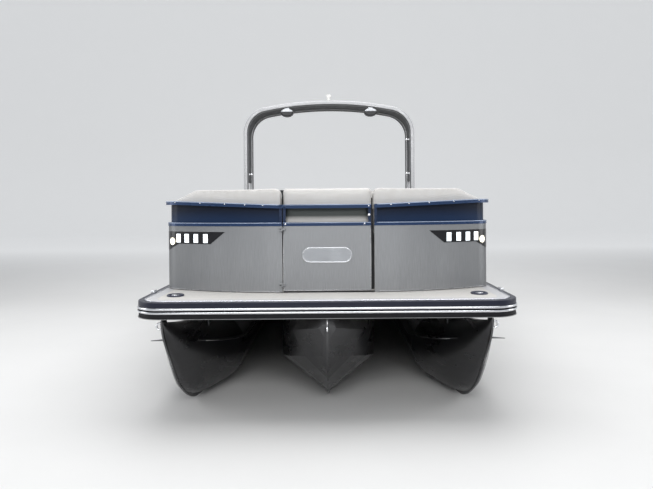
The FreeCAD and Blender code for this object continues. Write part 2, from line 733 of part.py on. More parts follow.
def hinge(axis, leaf_run, back, rail_lift):
    """Knuckles on one upright axis: the fixed arms with their pin, and the swinging arms.

    leaf_run points from the axis along the gate and back points from the axis to the fence's face.
    """
    fixed, swinging = [], []
    for height in HINGE_HEIGHTS + ((TOP_RAIL_BOTTOM + TOP_RAIL_TOP) / 2 + rail_lift,):
        middle = DECK_TOP + height
        for row, own in ((-1, fixed), (0, swinging), (1, fixed)):
            low = middle + row * (KNUCKLE + HINGE_PLAY) - KNUCKLE / 2
            own.append(Part.makeCylinder(HINGE_RADIUS, KNUCKLE, V(axis.x, axis.y, low)))
            run = leaf_run if own is swinging else leaf_run * -1
            near = V(axis.x, axis.y, low) + run * (HINGE_PIN + 1) - back * (HINGE_RADIUS - 2)
            far = V(axis.x, axis.y, low) + run * HINGE_LEAF + back * HINGE_OUT
            own.append(block(min(near.x, far.x), max(near.x, far.x), min(near.y, far.y),
                             max(near.y, far.y), low, low + KNUCKLE))
        reach = 1.5 * KNUCKLE + HINGE_PLAY
        fixed.append(Part.makeCylinder(HINGE_PIN, 2 * reach, V(axis.x, axis.y, middle - reach)))
    hole = Part.makeCylinder(HINGE_PIN + PIN_RUN, 900, V(axis.x, axis.y, DECK_TOP))
    return fixed, [s.cut(hole) for s in swinging]


def gate_box(x0, x1, y0, y1):
    return block(x0, x1, y0, y1, DECK_TOP, DECK_TOP + 900)


def make_gate(box, swinging):
    """A gate's panel and its rails with end posts, both cut from the fence's own sections."""
    panel = panel_wall().common(box)
    bounds = box.BoundBox
    rails = [top_rail().common(box), mid_rail().common(box)]
    if bounds.XLength < bounds.YLength:
        ends = [gate_box(bounds.XMin, bounds.XMax, y, y + POST_WIDTH) for y in
                (bounds.YMin, bounds.YMax - POST_WIDTH)]
    else:
        ends = [gate_box(x, x + POST_WIDTH, bounds.YMin, bounds.YMax) for x in
                (bounds.XMin, bounds.XMax - POST_WIDTH)]
    rails += [post_wall().common(end) for end in ends]
    low_leaves = [s for s in swinging if s.BoundBox.ZMax < DECK_TOP + PANEL_TOP - 8]
    high_leaves = [s for s in swinging if s.BoundBox.ZMax >= DECK_TOP + PANEL_TOP - 8]
    return fused([panel] + low_leaves), fused(rails + high_leaves)


def make_plate():
    """The blank badge plate: a long oval with a raised rim."""
    def oval(inset, y0, y1):
        r = PLATE_HEIGHT / 2 - inset
        half = PLATE_WIDTH / 2 - PLATE_HEIGHT / 2
        z = DECK_TOP + PLATE_Z
        edges = [line(V(-half, y0, z - r), V(half, y0, z - r)), arc(V(half, y0, z), r, -90, 90, AFT),
                 line(V(half, y0, z + r), V(-half, y0, z + r)), arc(V(-half, y0, z), r, 90, 270, AFT)]
        return prism(Part.Face(Part.Wire(edges)), AFT * (y1 - y0))

    face = FENCE_FRONT - SEAT_GAP
    plate = oval(0, face - PLATE_THICK, face)
    return plate.cut(oval(PLATE_RIM, face - PLATE_THICK - 1, face - PLATE_THICK + PLATE_SINK))


def cushion(x0, x1, y0, y1, z0, z1, radius=PAD_ROUND):
    """A plain padded block with rounded edges, heights from the deck."""
    return rounded(deck_block(x0, x1, y0, y1, z0, z1), radius)


def make_bow_back():
    """The port bow backrest: it follows the fence, and slopes down to the rail at its outer end."""
    inner = FENCE_THICK + BACK_GAP
    wall = fence_band(TOP_RAIL_DEPTH - TOP_OVERHANG + SEAT_GAP, inner + BACK_THICK, BACK_BOTTOM, CREST)
    start, corner = GATE_HALF + GATE_LATCH_GAP - 8, TOP_RAIL_TOP + TOP_RAIL_RISE
    profile = [(start, BACK_BOTTOM), (start, CREST - 40), (start + 12, CREST - 12), (start + 40, CREST),
               (BACK_SLOPE_START, CREST), (BACK_SLOPE_END, corner), (FENCE_REACH, corner), (FENCE_REACH, BACK_BOTTOM)]
    return wall.common(prism(polygon([V(x, 0, DECK_TOP + z) for x, z in profile]), AFT * 860))


def make_side_back(start, end):
    """A port side backrest along the fence, with sloped ends and an outer edge that falls to the rail."""
    inner, outer = FENCE_THICK + BACK_GAP + BACK_THICK, TOP_RAIL_DEPTH - TOP_OVERHANG + SEAT_GAP
    wall = fence_band(outer, inner, BACK_BOTTOM, SIDE_CREST)
    x, rail = FENCE_HALF - outer, TOP_RAIL_TOP + TOP_RAIL_RISE
    section = [V(x, 0, DECK_TOP + BACK_BOTTOM), V(x, 0, DECK_TOP + rail),
               V(FENCE_HALF - inner + 30, 0, DECK_TOP + SIDE_CREST), V(0, 0, DECK_TOP + SIDE_CREST),
               V(0, 0, DECK_TOP + BACK_BOTTOM)]
    wall = wall.common(prism(polygon(section), AFT * DECK_LENGTH))
    profile = [(start, BACK_BOTTOM), (start, SIDE_CREST - 50), (start + 50, SIDE_CREST), (end - 50, SIDE_CREST),
               (end, SIDE_CREST - 50), (end, BACK_BOTTOM)]
    return wall.common(prism(polygon([V(600, y, DECK_TOP + z) for y, z in profile]), PORT * 700))


def make_bow_base():
    """The port bow lounge base: an open box with walls that follow the fence."""
    def body(spare, low, high):
        inside = fence_fill(FENCE_THICK + BACK_GAP + spare, low, high)
        return inside.common(
            deck_block(LOUNGE_AISLE + spare, FENCE_REACH, 570 + spare, LOUNGE_END - spare, low, high))
    shell = body(0, SEAT_GAP, BASE_HEIGHT)
    return shell.cut(body(BASE_WALL, BASE_WALL, BASE_HEIGHT + 1))


def seat_pad(x0, x1, y0, y1):
    """A seat pad that rests on a base."""
    low = BASE_HEIGHT + SEAT_GAP
    return cushion(x0, x1, y0, y1, low, low + SEAT_THICK)


def lid_hinge(stations):
    """Barrels under a seat's front edge, along Y at X = 0 with the seat to +X: fixed with pins, and the lid's."""
    fixed, lid = [], []
    for y in stations:
        for row, own in ((-1, fixed), (0, lid), (1, fixed)):
            start = y + row * (LID_KNUCKLE + HINGE_PLAY) - LID_KNUCKLE / 2
            own.append(rod(V(0, start, 0), V(0, start + LID_KNUCKLE, 0), LID_BARREL))
            if own is fixed:
                own.append(block(0, LID_BARREL + 17, start, start + LID_KNUCKLE, -26, -HINGE_PLAY))
            else:
                own.append(block(0, LID_BARREL + 52, start, start + LID_KNUCKLE, HINGE_PLAY, LID_BARREL))
        reach = 1.5 * LID_KNUCKLE
        fixed.append(rod(V(0, y - reach, 0), V(0, y + reach, 0), HINGE_PIN))
    hole = rod(V(0, min(stations) - 500, 0), V(0, max(stations) + 500, 0), HINGE_PIN + PIN_RUN)
    return fixed, [s.cut(hole) for s in lid]


def hinge_at(stations, turn, at):
    """The same barrels turned about Z and set at a point."""
    both = lid_hinge(stations)
    for shape in both[0] + both[1]:
        shape.rotate(V(0, 0, 0), UP, turn)
        shape.translate(at)
    return both


def make_console():
    """A low starboard console: hollow, open at the foot on the helm side."""
    low, high = DECK_TOP + SEAT_GAP, DECK_TOP + CONSOLE_HEIGHT
    y0, y1 = CONSOLE_START, CONSOLE_START + CONSOLE_DEPTH

    def body(wall):
        points = [(y0 + wall, low + wall), (y0 + wall, high - 90), (y0 + 60 + wall, high - wall),
                  (y1 - 190, high - wall), (y1 - wall, high - 230), (y1 - wall, high - 330),
                  (y1 - 120 - wall, low + 300), (y1 - 120 - wall, low + wall)]
        solid = across(points, CONSOLE_HALF - wall)
        solid.translate(V(CONSOLE_X, 0, 0))
        return solid
    shell = rounded(body(0), 16.0, lambda e: upright_or_level(e) and e.BoundBox.ZMax > low + 5)
    foot = block(CONSOLE_X - CONSOLE_HALF + 70, CONSOLE_X + CONSOLE_HALF - 70, y1 - 160, y1 - 90,
                 low + 40, low + 270)
    axis = wheel_axis()
    hub = wheel_middle() + axis * 42
    boss = rod(hub, hub + axis * 95, 34)
    hole = rod(wheel_middle(), hub + axis * 60, SHAFT_RADIUS + PIN_RUN)
    return fused([shell.cut([body(CONSOLE_WALL), foot]), boss]).cut(hole)


def upright_or_level(edge):
    """True for edges that run across the boat."""
    a, b = edge.Vertexes[0].Point, edge.Vertexes[-1].Point
    return (b - a).Length > 1 and abs((b - a).normalize().x) > 0.999


def wheel_axis():
    """Points from the driver into the dash."""
    a = math.radians(WHEEL_TILT)
    return V(0, -math.cos(a), -math.sin(a))


def wheel_middle():
    return V(CONSOLE_X, CONSOLE_START + CONSOLE_DEPTH - 50, DECK_TOP + WHEEL_Z)


def make_wheel():
    """Rim, hub, three spokes and the shaft that turns in the dash."""
    middle, axis = wheel_middle(), wheel_axis()
    rim = Part.makeTorus(WHEEL_RADIUS, WHEEL_GRIP, middle, axis)
    hub = rod(middle - axis * 4, middle + axis * (42 - SEAT_GAP), 32)
    shaft = rod(middle, middle + axis * 95, SHAFT_RADIUS)
    spoke = rod(middle + axis * 6, middle + axis * 6 + PORT * WHEEL_RADIUS, 9)
    spokes = []
    for turn in (0, 180, 90):
        one = spoke.copy()
        one.rotate(middle, axis, turn)
        spokes.append(one)
    return fused([rim, hub, shaft] + spokes)


def make_windscreen():
    """A low tinted screen, bent round the front of the console."""
    z = DECK_TOP + CONSOLE_HEIGHT + SEAT_GAP
    half = CONSOLE_HALF - 20
    outer = block(CONSOLE_X - half, CONSOLE_X + half, CONSOLE_START + 70, CONSOLE_START + 340, z, z + 120)
    outer = rounded(outer, 60.0, lambda e: upright(e) and e.BoundBox.YMax < CONSOLE_START + 90)
    inner = block(CONSOLE_X - half + 6, CONSOLE_X + half - 6, CONSOLE_START + 76, CONSOLE_START + 400, z - 1, z + 130)
    inner = rounded(inner, 54.0, lambda e: upright(e) and e.BoundBox.YMax < CONSOLE_START + 90)
    return outer.cut(inner)


def make_pedestal(x, y):
    foot = Part.makeCylinder(PEDESTAL_BASE, 10, V(x, y, DECK_TOP + SEAT_GAP))
    cone = Part.makeCone(75, PEDESTAL_RADIUS, 40, V(x, y, DECK_TOP + SEAT_GAP + 9))
    column = Part.makeCylinder(PEDESTAL_RADIUS, CHAIR_SEAT_Z - 18, V(x, y, DECK_TOP + 8))
    flange = Part.makeCylinder(110, 14, V(x, y, DECK_TOP + CHAIR_SEAT_Z - 14 - SEAT_GAP))
    spigot = Part.makeCylinder(18, 50, V(x, y, DECK_TOP + CHAIR_SEAT_Z - 14))
    return fused([foot, cone, column, flange, spigot])


def make_chair(x, y):
    """A low-backed swivel chair that faces the bow: pan, seat, back and two arms."""
    z = DECK_TOP + CHAIR_SEAT_Z
    pan = block(x - 200, x + 200, y - 200, y + 200, z, z + 22)
    seat = rounded(block(x - 250, x + 250, y - 270, y + 230, z + 20, z + 130), 35.0)
    back = rounded(block(x - 255, x + 255, y + 170, y + 290, z + 40, z + 470), 45.0)
    arms = [rounded(block(x + s * 285 - 42, x + s * 285 + 42, y - 150, y + 240, z + 175, z + 240), 24.0)
            for s in (-1, 1)]
    stays = [rounded(block(x + s * 262 - 30, x + s * 262 + 30, y + 60, y + 230, z + 60, z + 200), 20.0)
             for s in (-1, 1)]
    hole = Part.makeCylinder(18 + PIN_RUN, 40, V(x, y, z - 1))
    return fused([pan, seat, back] + arms + stays).cut(hole)


def arch_area(inset):
    """The arch's front outline: upright legs, round shoulders and a shallow bow on top."""
    half, top_z = ARCH_HALF - inset, DECK_TOP + ARCH_TOP
    big_z = top_z - ARCH_BOW
    r = ARCH_CORNER - inset
    reach = ARCH_BOW - inset - r
    across_x = half - r
    corner_z = big_z + math.sqrt(reach**2 - across_x**2)
    turn = math.degrees(math.atan2(corner_z - big_z, across_x))
    foot = DECK_TOP + SEAT_GAP
    edges = [
        line(V(half, 0, foot), V(half, 0, corner_z)),
        arc(V(across_x, 0, corner_z), r, 0, turn, AFT),
        arc(V(0, 0, big_z), ARCH_BOW - inset, turn, 180 - turn, AFT),
        arc(V(-across_x, 0, corner_z), r, 180 - turn, 180, AFT),
        line(V(-half, 0, corner_z), V(-half, 0, foot)),
        line(V(-half, 0, foot), V(half, 0, foot)),
    ]
    return Part.Face(Part.Wire(edges))


def arch_hoop(outer, inner, y0, y1):
    ring = arch_area(outer).cut(arch_area(inner))
    ring.translate(AFT * y0)
    return prism(ring, AFT * (y1 - y0))


def make_arch():
    """Front and rear hoops with feet, tied at the foot of each leg, and the panel between them."""
    end = ARCH_START + ARCH_DEPTH
    front = arch_hoop(0, ARCH_FACE, ARCH_START, ARCH_START + ARCH_TUBE_DEPTH)
    rear = arch_hoop(0, ARCH_FACE, end - ARCH_TUBE_DEPTH, end)
    hoops = [rounded(h, 18.0, lambda e: not level_foot(e)) for h in (front, rear)]
    ties = []
    for side in (-1, 1):
        for low in (0.0, 700.0):
            x0, x1 = sorted((side * (ARCH_HALF - 8), side * (ARCH_HALF - ARCH_FACE + 8)))
            ties.append(deck_block(x0, x1, ARCH_START + 20, end - 20, low + SEAT_GAP, low + 46))
        x0, x1 = sorted((side * (ARCH_HALF + 14), side * (ARCH_HALF - ARCH_FACE - 30)))
        ties.append(deck_block(x0, x1, ARCH_START - 20, end + 20, SEAT_GAP, 10))
    frame = fused(hoops + ties)
    skin = arch_hoop(ARCH_PANEL_INSET, ARCH_PANEL_INSET + ARCH_PANEL_THICK,
                     ARCH_START + ARCH_TUBE_DEPTH + SEAT_GAP, end - ARCH_TUBE_DEPTH - SEAT_GAP)
    skin = skin.cut(deck_block(-FENCE_REACH, FENCE_REACH, ARCH_START - 900, ARCH_START + 2100, -10, ARCH_OPEN_TOP))
    return frame, skin


def level_foot(edge):
    return edge.BoundBox.ZMin < DECK_TOP + 20


def arch_underside(x):
    """Height of the arch's lower face at a half-width on its bowed top."""
    radius = ARCH_BOW - ARCH_FACE
    return DECK_TOP + ARCH_TOP - ARCH_BOW + math.sqrt(radius**2 - x**2)


def make_pods():
    """Oval pods under the front hoop, each on a short saddle."""
    found = []
    y = ARCH_START + ARCH_TUBE_DEPTH / 2
    for side in (-1, 1):
        x = side * POD_X
        z = arch_underside(POD_X) - POD_HALF_HEIGHT - 14
        oval = Part.Ellipse(V(x + POD_RADIUS, y - POD_DEPTH / 2, z), V(x, y - POD_DEPTH / 2, z + POD_HALF_HEIGHT),
                            V(x, y - POD_DEPTH / 2, z))
        can = rounded(prism(Part.Face(Part.Wire([oval.toShape()])), AFT * POD_DEPTH), 12.0)
        saddle = block(x - 30, x + 30, y - 26, y + 26, z + POD_HALF_HEIGHT - 16, arch_underside(POD_X) + 30)
        saddle = saddle.cut(arch_hoop(-40, ARCH_FACE + SEAT_GAP, y - 60, y + 60))
        found.append(fused([can, saddle]))
    return loose(found)


def make_anchor_light():
    z = DECK_TOP + ARCH_TOP + SEAT_GAP
    y = ARCH_START + ARCH_TUBE_DEPTH / 2
    base = Part.makeCylinder(ANCHOR_LIGHT_RADIUS - 8, ANCHOR_LIGHT_HEIGHT / 2 + 2, V(0, y, z))
    globe = rounded(Part.makeCylinder(ANCHOR_LIGHT_RADIUS, ANCHOR_LIGHT_HEIGHT / 2, V(0, y, z + ANCHOR_LIGHT_HEIGHT / 2)),
                    10.0, lambda e: abs(e.BoundBox.ZMin - z - ANCHOR_LIGHT_HEIGHT) < 0.01)
    return fused([base, globe])


# Motor, drawn upright about its tilt axis, then swung up to the stored tilt
def tilt_axis():
    return V(0, TILT_Y, TILT_Z)


def stored(shape):
    """Moves a piece drawn about the tilt axis into place, tilted up."""
    shape.translate(tilt_axis())
    shape.rotate(tilt_axis(), PORT, STORED_TILT)
    return shape


def make_motor_mount():
    """The welded box behind the middle tube that carries the transom."""
    face = TILT_Y - TRANSOM_GAP
    points = [(CENTRE_END + SEAT_GAP, MEMBER_BOTTOM - 2 * SEAT_GAP), (CENTRE_END + SEAT_GAP, MOUNT_BOTTOM),
              (face - 190, MOUNT_BOTTOM), (face, MOUNT_BOTTOM + 170), (face, TILT_Z - 20),
              (face - 60, TILT_Z - 20), (face - 60, MEMBER_BOTTOM - 90), (face - 260, MEMBER_BOTTOM - 90),
              (face - 300, MEMBER_BOTTOM - 2 * SEAT_GAP)]
    return across(points, MOUNT_HALF)


def make_clamp():
    """Two side plates bolted on the transom, joined by a cross bar; they carry the tilt tube."""
    face = -TRANSOM_GAP + SEAT_GAP
    found = []
    for side in (-1, 1):
        points = [(face, 30), (-18, 42), (34, 26), (30, -34), (face + 46, -120), (face + 40, -330),
                  (face, -350), (face, 30)]
        plate = across(points[:-1], CLAMP_THICK / 2)
        plate.translate(PORT * (side * CLAMP_X))
        found.append(plate)
    bar = block(-CLAMP_X, CLAMP_X, face, face + 26, -345, -300)
    tube = rod(V(-CLAMP_X - 24, 0, 0), V(CLAMP_X + 24, 0, 0), 17)
    clamp = fused(found + [bar, tube])
    clamp.translate(tilt_axis())
    return clamp


def make_swivel():
    """The tilting bracket: an eye round the tilt tube and the upright steering column."""
    eye = rod(V(-SWIVEL_HALF, 0, 0), V(SWIVEL_HALF, 0, 0), 30)
    web = across([(-4, -14), (4, 20), (STEER_AFT - YOKE_RADIUS, COLUMN_TOP - 2), (STEER_AFT, COLUMN_TOP - 4),
                  (STEER_AFT, COLUMN_BOTTOM + 60)], 40)
    column = Part.makeCylinder(STEER_RADIUS, COLUMN_TOP - COLUMN_BOTTOM, V(0, STEER_AFT, COLUMN_BOTTOM))
    tube = rod(V(-SWIVEL_HALF - 5, 0, 0), V(SWIVEL_HALF + 5, 0, 0), 17 + PIN_RUN)
    bore = Part.makeCylinder(STEER_PIN + PIN_RUN, 600, V(0, STEER_AFT, COLUMN_BOTTOM - 50))
    return stored(fused([eye, web, column]).cut([tube, bore]))


def rounded_ring(half, front, aft, z, corner):
    """A level section of the cowl: a round-cornered rectangle."""
    r = corner
    edges = [
        line(V(-half + r, front, z), V(half - r, front, z)), arc(V(half - r, front + r, z), r, -90, 0),
        line(V(half, front + r, z), V(half, aft - r, z)), arc(V(half - r, aft - r, z), r, 0, 90),
        line(V(half - r, aft, z), V(-half + r, aft, z)), arc(V(-half + r, aft - r, z), r, 90, 180),
        line(V(-half, aft - r, z), V(-half, front + r, z)), arc(V(-half + r, front + r, z), r, 180, 270),
    ]
    return Part.Wire(edges)


def cowl_body(inset):
    """The cowl's outer form, or its inside when drawn that much smaller."""
    i = inset
    rows = [(0.74, COWL_FRONT + 40, COWL_AFT - 150, COWL_BOTTOM + i, 95),
            (0.97, COWL_FRONT + 4, COWL_AFT - 30, COWL_BOTTOM + 150, 120),
            (1.0, COWL_FRONT, COWL_AFT, COWL_BOTTOM + 330, 130),
            (0.94, COWL_FRONT + 12, COWL_AFT - 24, COWL_BOTTOM + 520, 130),
            (0.72, COWL_FRONT + 60, COWL_AFT - 110, COWL_TOP - i, 110)]
    wires = [rounded_ring(COWL_HALF * k - i, front + i, aft - i, z, corner - i)
             for k, front, aft, z, corner in rows]
    return loft(wires, ruled=False)


def make_cowl():
    """A hollow cowl with a softened crown."""
    outer = rounded(cowl_body(0), 38.0, lambda e: e.BoundBox.ZMin > COWL_TOP - 0.01)
    return stored(outer.cut(cowl_body(COWL_WALL)))


def make_engine():
    """The engine as one plain block on the leg's top plate."""
    return stored(block(-140, 140, 60, 400, COWL_BOTTOM + COWL_WALL + SEAT_GAP, COWL_TOP - 130))


def make_leg():
    """Yokes round the steering column, housing, splash plates, gearcase and skeg."""
    def wing(z, half, front, aft):
        points = [V(0, front, z)]
        for t in (0.1, 0.3, 0.55, 0.8):
            points.append(V(half * math.sin(math.pi * min(t * 1.15, 1) * 0.5 + 0.25) * (1 - t**3 * 0.7),
                            front + (aft - front) * t, z))
        points.append(V(0, aft, z))
        right = Part.BSplineCurve()
        right.interpolate(points)
        left = Part.BSplineCurve()
        left.interpolate([V(-p.x, p.y, p.z) for p in reversed(points)])
        return Part.Wire([right.toShape(), left.toShape()])

    top = loft([rounded_ring(190, COWL_FRONT + 90, COWL_AFT - 190, COWL_BOTTOM - SEAT_GAP, 90),
                         rounded_ring(120, 160, COWL_AFT - 240, -40, 80)])
    mid = loft([rounded_ring(120, 160, COWL_AFT - 240, -40, 80),
                         rounded_ring(78, 180, COWL_AFT - 250, -420, 60),
                         rounded_ring(66, 190, COWL_AFT - 230, -640, 50)])
    lower = loft([wing(-638, 62, 170, 470), wing(PROP_Z + 20, 40, 120, 440)])
    plate = prism(Part.Face(wing(PROP_Z + PROP_RADIUS + 18, 165, 130, 640)), UP * 9)
    splash = prism(Part.Face(wing(-560, 120, 150, 480)), UP * 8)
    torpedo = Part.makeCylinder(TORPEDO_RADIUS, PROP_START - 200, V(0, 195, PROP_Z), AFT)
    cone = Part.makeCone(14, TORPEDO_RADIUS, 150, V(0, 46, PROP_Z), AFT)
    skeg = across([(150, PROP_Z - 50), (430, PROP_Z - 50), (400, PROP_Z - 225), (330, PROP_Z - 235)], 8)
    yoke_z = COLUMN_TOP + SWING_GAP
    yokes = []
    for aft, low in ((220, yoke_z), (230, COLUMN_BOTTOM - SWING_GAP - YOKE_HEIGHT)):
        yokes.append(block(-YOKE_ARM, YOKE_ARM, STEER_AFT, aft, low, low + YOKE_HEIGHT))
        yokes.append(Part.makeCylinder(YOKE_RADIUS, YOKE_HEIGHT, V(0, STEER_AFT, low)))
    pins = [Part.makeCylinder(STEER_PIN, 80, V(0, STEER_AFT, yoke_z - 70)),
            Part.makeCylinder(STEER_PIN, 80, V(0, STEER_AFT, COLUMN_BOTTOM - SWING_GAP - 10))]
    shaft = Part.makeCylinder(PROP_SHAFT, PROP_LENGTH + 22, V(0, PROP_START - 15, PROP_Z), AFT)
    return stored(fused([top, mid, lower, plate, splash, torpedo, cone, skeg, shaft] + yokes + pins))


def make_propeller():
    """A hub and three pitched blades."""
    start = V(0, PROP_START + SWING_GAP, PROP_Z)
    hub = Part.makeCone(PROP_HUB + 4, PROP_HUB - 8, PROP_LENGTH, start, AFT)
    blades = []
    for i in range(PROP_BLADES):
        sections = []
        for r, chord, pitch, shift in ((PROP_HUB - 18, 60, 62, 0), (110, 122, 42, 6), (165, 118, 30, 14),
                                       (PROP_RADIUS, 40, 24, 30)):
            a = math.radians(pitch)
            run = V(math.cos(a), math.sin(a), 0)
            side = V(-math.sin(a), math.cos(a), 0)
            middle = V(shift, 0, r)
            sections.append(Part.makePolygon([middle - run * (chord / 2), middle + side * 5,
                                              middle + run * (chord / 2), middle - side * 5,
                                              middle - run * (chord / 2)]))
        blade = loft(sections)
        blade.rotate(V(0, 0, 0), AFT, i * 360 / PROP_BLADES)
        blade.translate(start + AFT * (PROP_LENGTH / 2))
        blades.append(blade)
    bore = Part.makeCylinder(PROP_SHAFT + PIN_RUN, 400, V(0, PROP_START - 50, PROP_Z), AFT)
    return stored(fused([hub] + blades).cut(bore))


def ladder_axis():
    return V(LADDER_X, DECK_LENGTH + LADDER_TUBE + SWING_GAP + 3, DECK_TOP + LADDER_LIFT)


def make_ladder():
    """Two stiles and their steps, folded forward flat over the platform."""
    axis = ladder_axis()
    parts = []
    for side in (-1, 1):
        foot = axis + PORT * (side * LADDER_HALF)
        parts.append(rod(foot, foot - AFT * LADDER_LENGTH, LADDER_TUBE))
        parts.append(rod(foot - PORT * LADDER_TUBE, foot + PORT * LADDER_TUBE, LADDER_TUBE + 2))
    for i in range(LADDER_STEPS):
        y = axis.y - LADDER_LENGTH + 16 + i * (LADDER_LENGTH - 150) / (LADDER_STEPS - 1)
        parts.append(block(axis.x - LADDER_HALF, axis.x + LADDER_HALF, y - 12, y + 48, axis.z - 9, axis.z + 9))
    bore = rod(axis - PORT * 400, axis + PORT * 400, HINGE_PIN + 2 + PIN_RUN)
    return fused(parts).cut(bore)


def make_ladder_bracket():
    """Lugs on the platform's edge with the ladder's two pins."""
    axis = ladder_axis()
    found = []
    for side in (-1, 1):
        inner = LADDER_HALF + LADDER_TUBE + 2
        x0, x1 = sorted((axis.x + side * inner, axis.x + side * (inner + 8)))
        lug = block(x0, x1, axis.y - 150, axis.y + 14, DECK_TOP + SEAT_GAP, axis.z + 14)
        slope = polygon([V(x0 - 1, axis.y - 151, DECK_TOP + 8), V(x0 - 1, axis.y - 151, axis.z + 30),
                         V(x0 - 1, axis.y - 20, axis.z + 30)])
        lug = lug.cut(prism(slope, PORT * 12))
        pin = rod(axis + PORT * (side * (LADDER_HALF - LADDER_TUBE)), axis + PORT * (side * (inner + 8)),
                  HINGE_PIN + 2)
        found.append(fused([lug, pin]))
    return loose(found)


def make_cleats():
    """Two round pop-up cleats let into the bow deck."""
    found = []
    for side in (-1, 1):
        low = DECK_TOP - 12 + SEAT_GAP
        centre = V(side * CLEAT_X, CLEAT_Y, low)
        cup = Part.makeCylinder(CLEAT_RADIUS - SEAT_GAP, 12 - SEAT_GAP + 1.5, centre)
        cup = cup.cut(Part.makeCylinder(CLEAT_RADIUS - 2 * CLEAT_RIM, 20, centre + UP * 7))
        bar = rounded(block(centre.x - 40, centre.x + 40, CLEAT_Y - 9, CLEAT_Y + 9, low + 6, DECK_TOP + 1), 4.0,
                      upright)
        found.append(fused([cup, bar]))
    return loose(found)


def stem_reach(z):
    """How far aft the stem bar's front edge lies at a height."""
    drop = DECK_TOP - z
    for (y0, d0), (y1, d1) in zip(STEM, STEM[1:]):
        if drop <= d1:
            return y0 + (y1 - y0) * (drop - d0) / (d1 - d0)
    return NOSE_LENGTH


def stem_face(y):
    """The outboard face of the port stem bar at a station: the bar is turned with the nose."""
    return TUBE_X + (STEM_X - TUBE_X) * (NOSE_LENGTH - y) / (NOSE_LENGTH - STEM[0][0]) + KEEL_WIDTH / 2


def make_eyes(tube):
    """Tow eyes at the stem tops: rings beside the outer stem bars and one ahead of the middle stem."""
    z = STEM_TOP - 42
    y = stem_reach(z) + EYE_BAR + 4
    ring = Part.makeTorus(EYE_RADIUS - EYE_BAR, EYE_BAR, V(stem_face(y) + 9, y, z), AFT)
    seat = tube.copy()
    seat.translate(PORT * SEAT_GAP)
    ahead = tube.copy()
    ahead.translate(AFT * -SEAT_GAP)
    side = max(ring.cut([tube, seat, ahead]).Solids, key=lambda solid: solid.Volume)
    z = STEM_TOP - 62
    middle = Part.makeTorus(BOW_EYE_RADIUS - EYE_BAR, EYE_BAR, V(0, CENTRE_STEM - EYE_BAR, z), PORT)
    middle = middle.cut(block(-50, 50, CENTRE_STEM - SEAT_GAP, CENTRE_STEM + 90, z - 60, z + 60))
    return loose([side, mirrored(side), middle])


def make_corner_fittings():
    """Low lamps on the rub rail at the bow corners."""
    found = []
    for side in (-1, 1):
        x = side * (BEAM / 2 - BAND_INSET - 18)
        z = DECK_TOP + SEAT_GAP
        found.append(rounded(block(x - 13, x + 13, FITTING_Y - 34, FITTING_Y + 34, z, z + 20), 6.0,
                             lambda e: e.BoundBox.ZMax > z + 1))
    return loose(found)


def make_stern_base():
    """The stern lounge's hollow base, from the starboard passage to the port fence."""
    def body(spare, low, high):
        inside = fence_fill(FENCE_THICK + BACK_GAP + spare, low, high)
        return inside.common(
            deck_block(STERN_LOUNGE_X + spare, FENCE_REACH, STERN_LOUNGE_START + spare, DECK_LENGTH, low, high))
    return body(0, SEAT_GAP, BASE_HEIGHT).cut(body(BASE_WALL, BASE_WALL, BASE_HEIGHT + 1))


def make_stern_back():
    """The stern backrest along the fence, from the passage round to the port side."""
    wall = fence_band(TOP_RAIL_DEPTH - TOP_OVERHANG + SEAT_GAP, FENCE_THICK + BACK_GAP + BACK_THICK,
                      BACK_BOTTOM, CREST)
    start = STERN_LOUNGE_X
    profile = [(start, BACK_BOTTOM), (start, CREST - 50), (start + 50, CREST), (FENCE_REACH, CREST),
               (FENCE_REACH, BACK_BOTTOM)]
    face = polygon([V(x, STERN_LOUNGE_START + 20, DECK_TOP + z) for x, z in profile])
    return wall.common(prism(face, AFT * 1200))


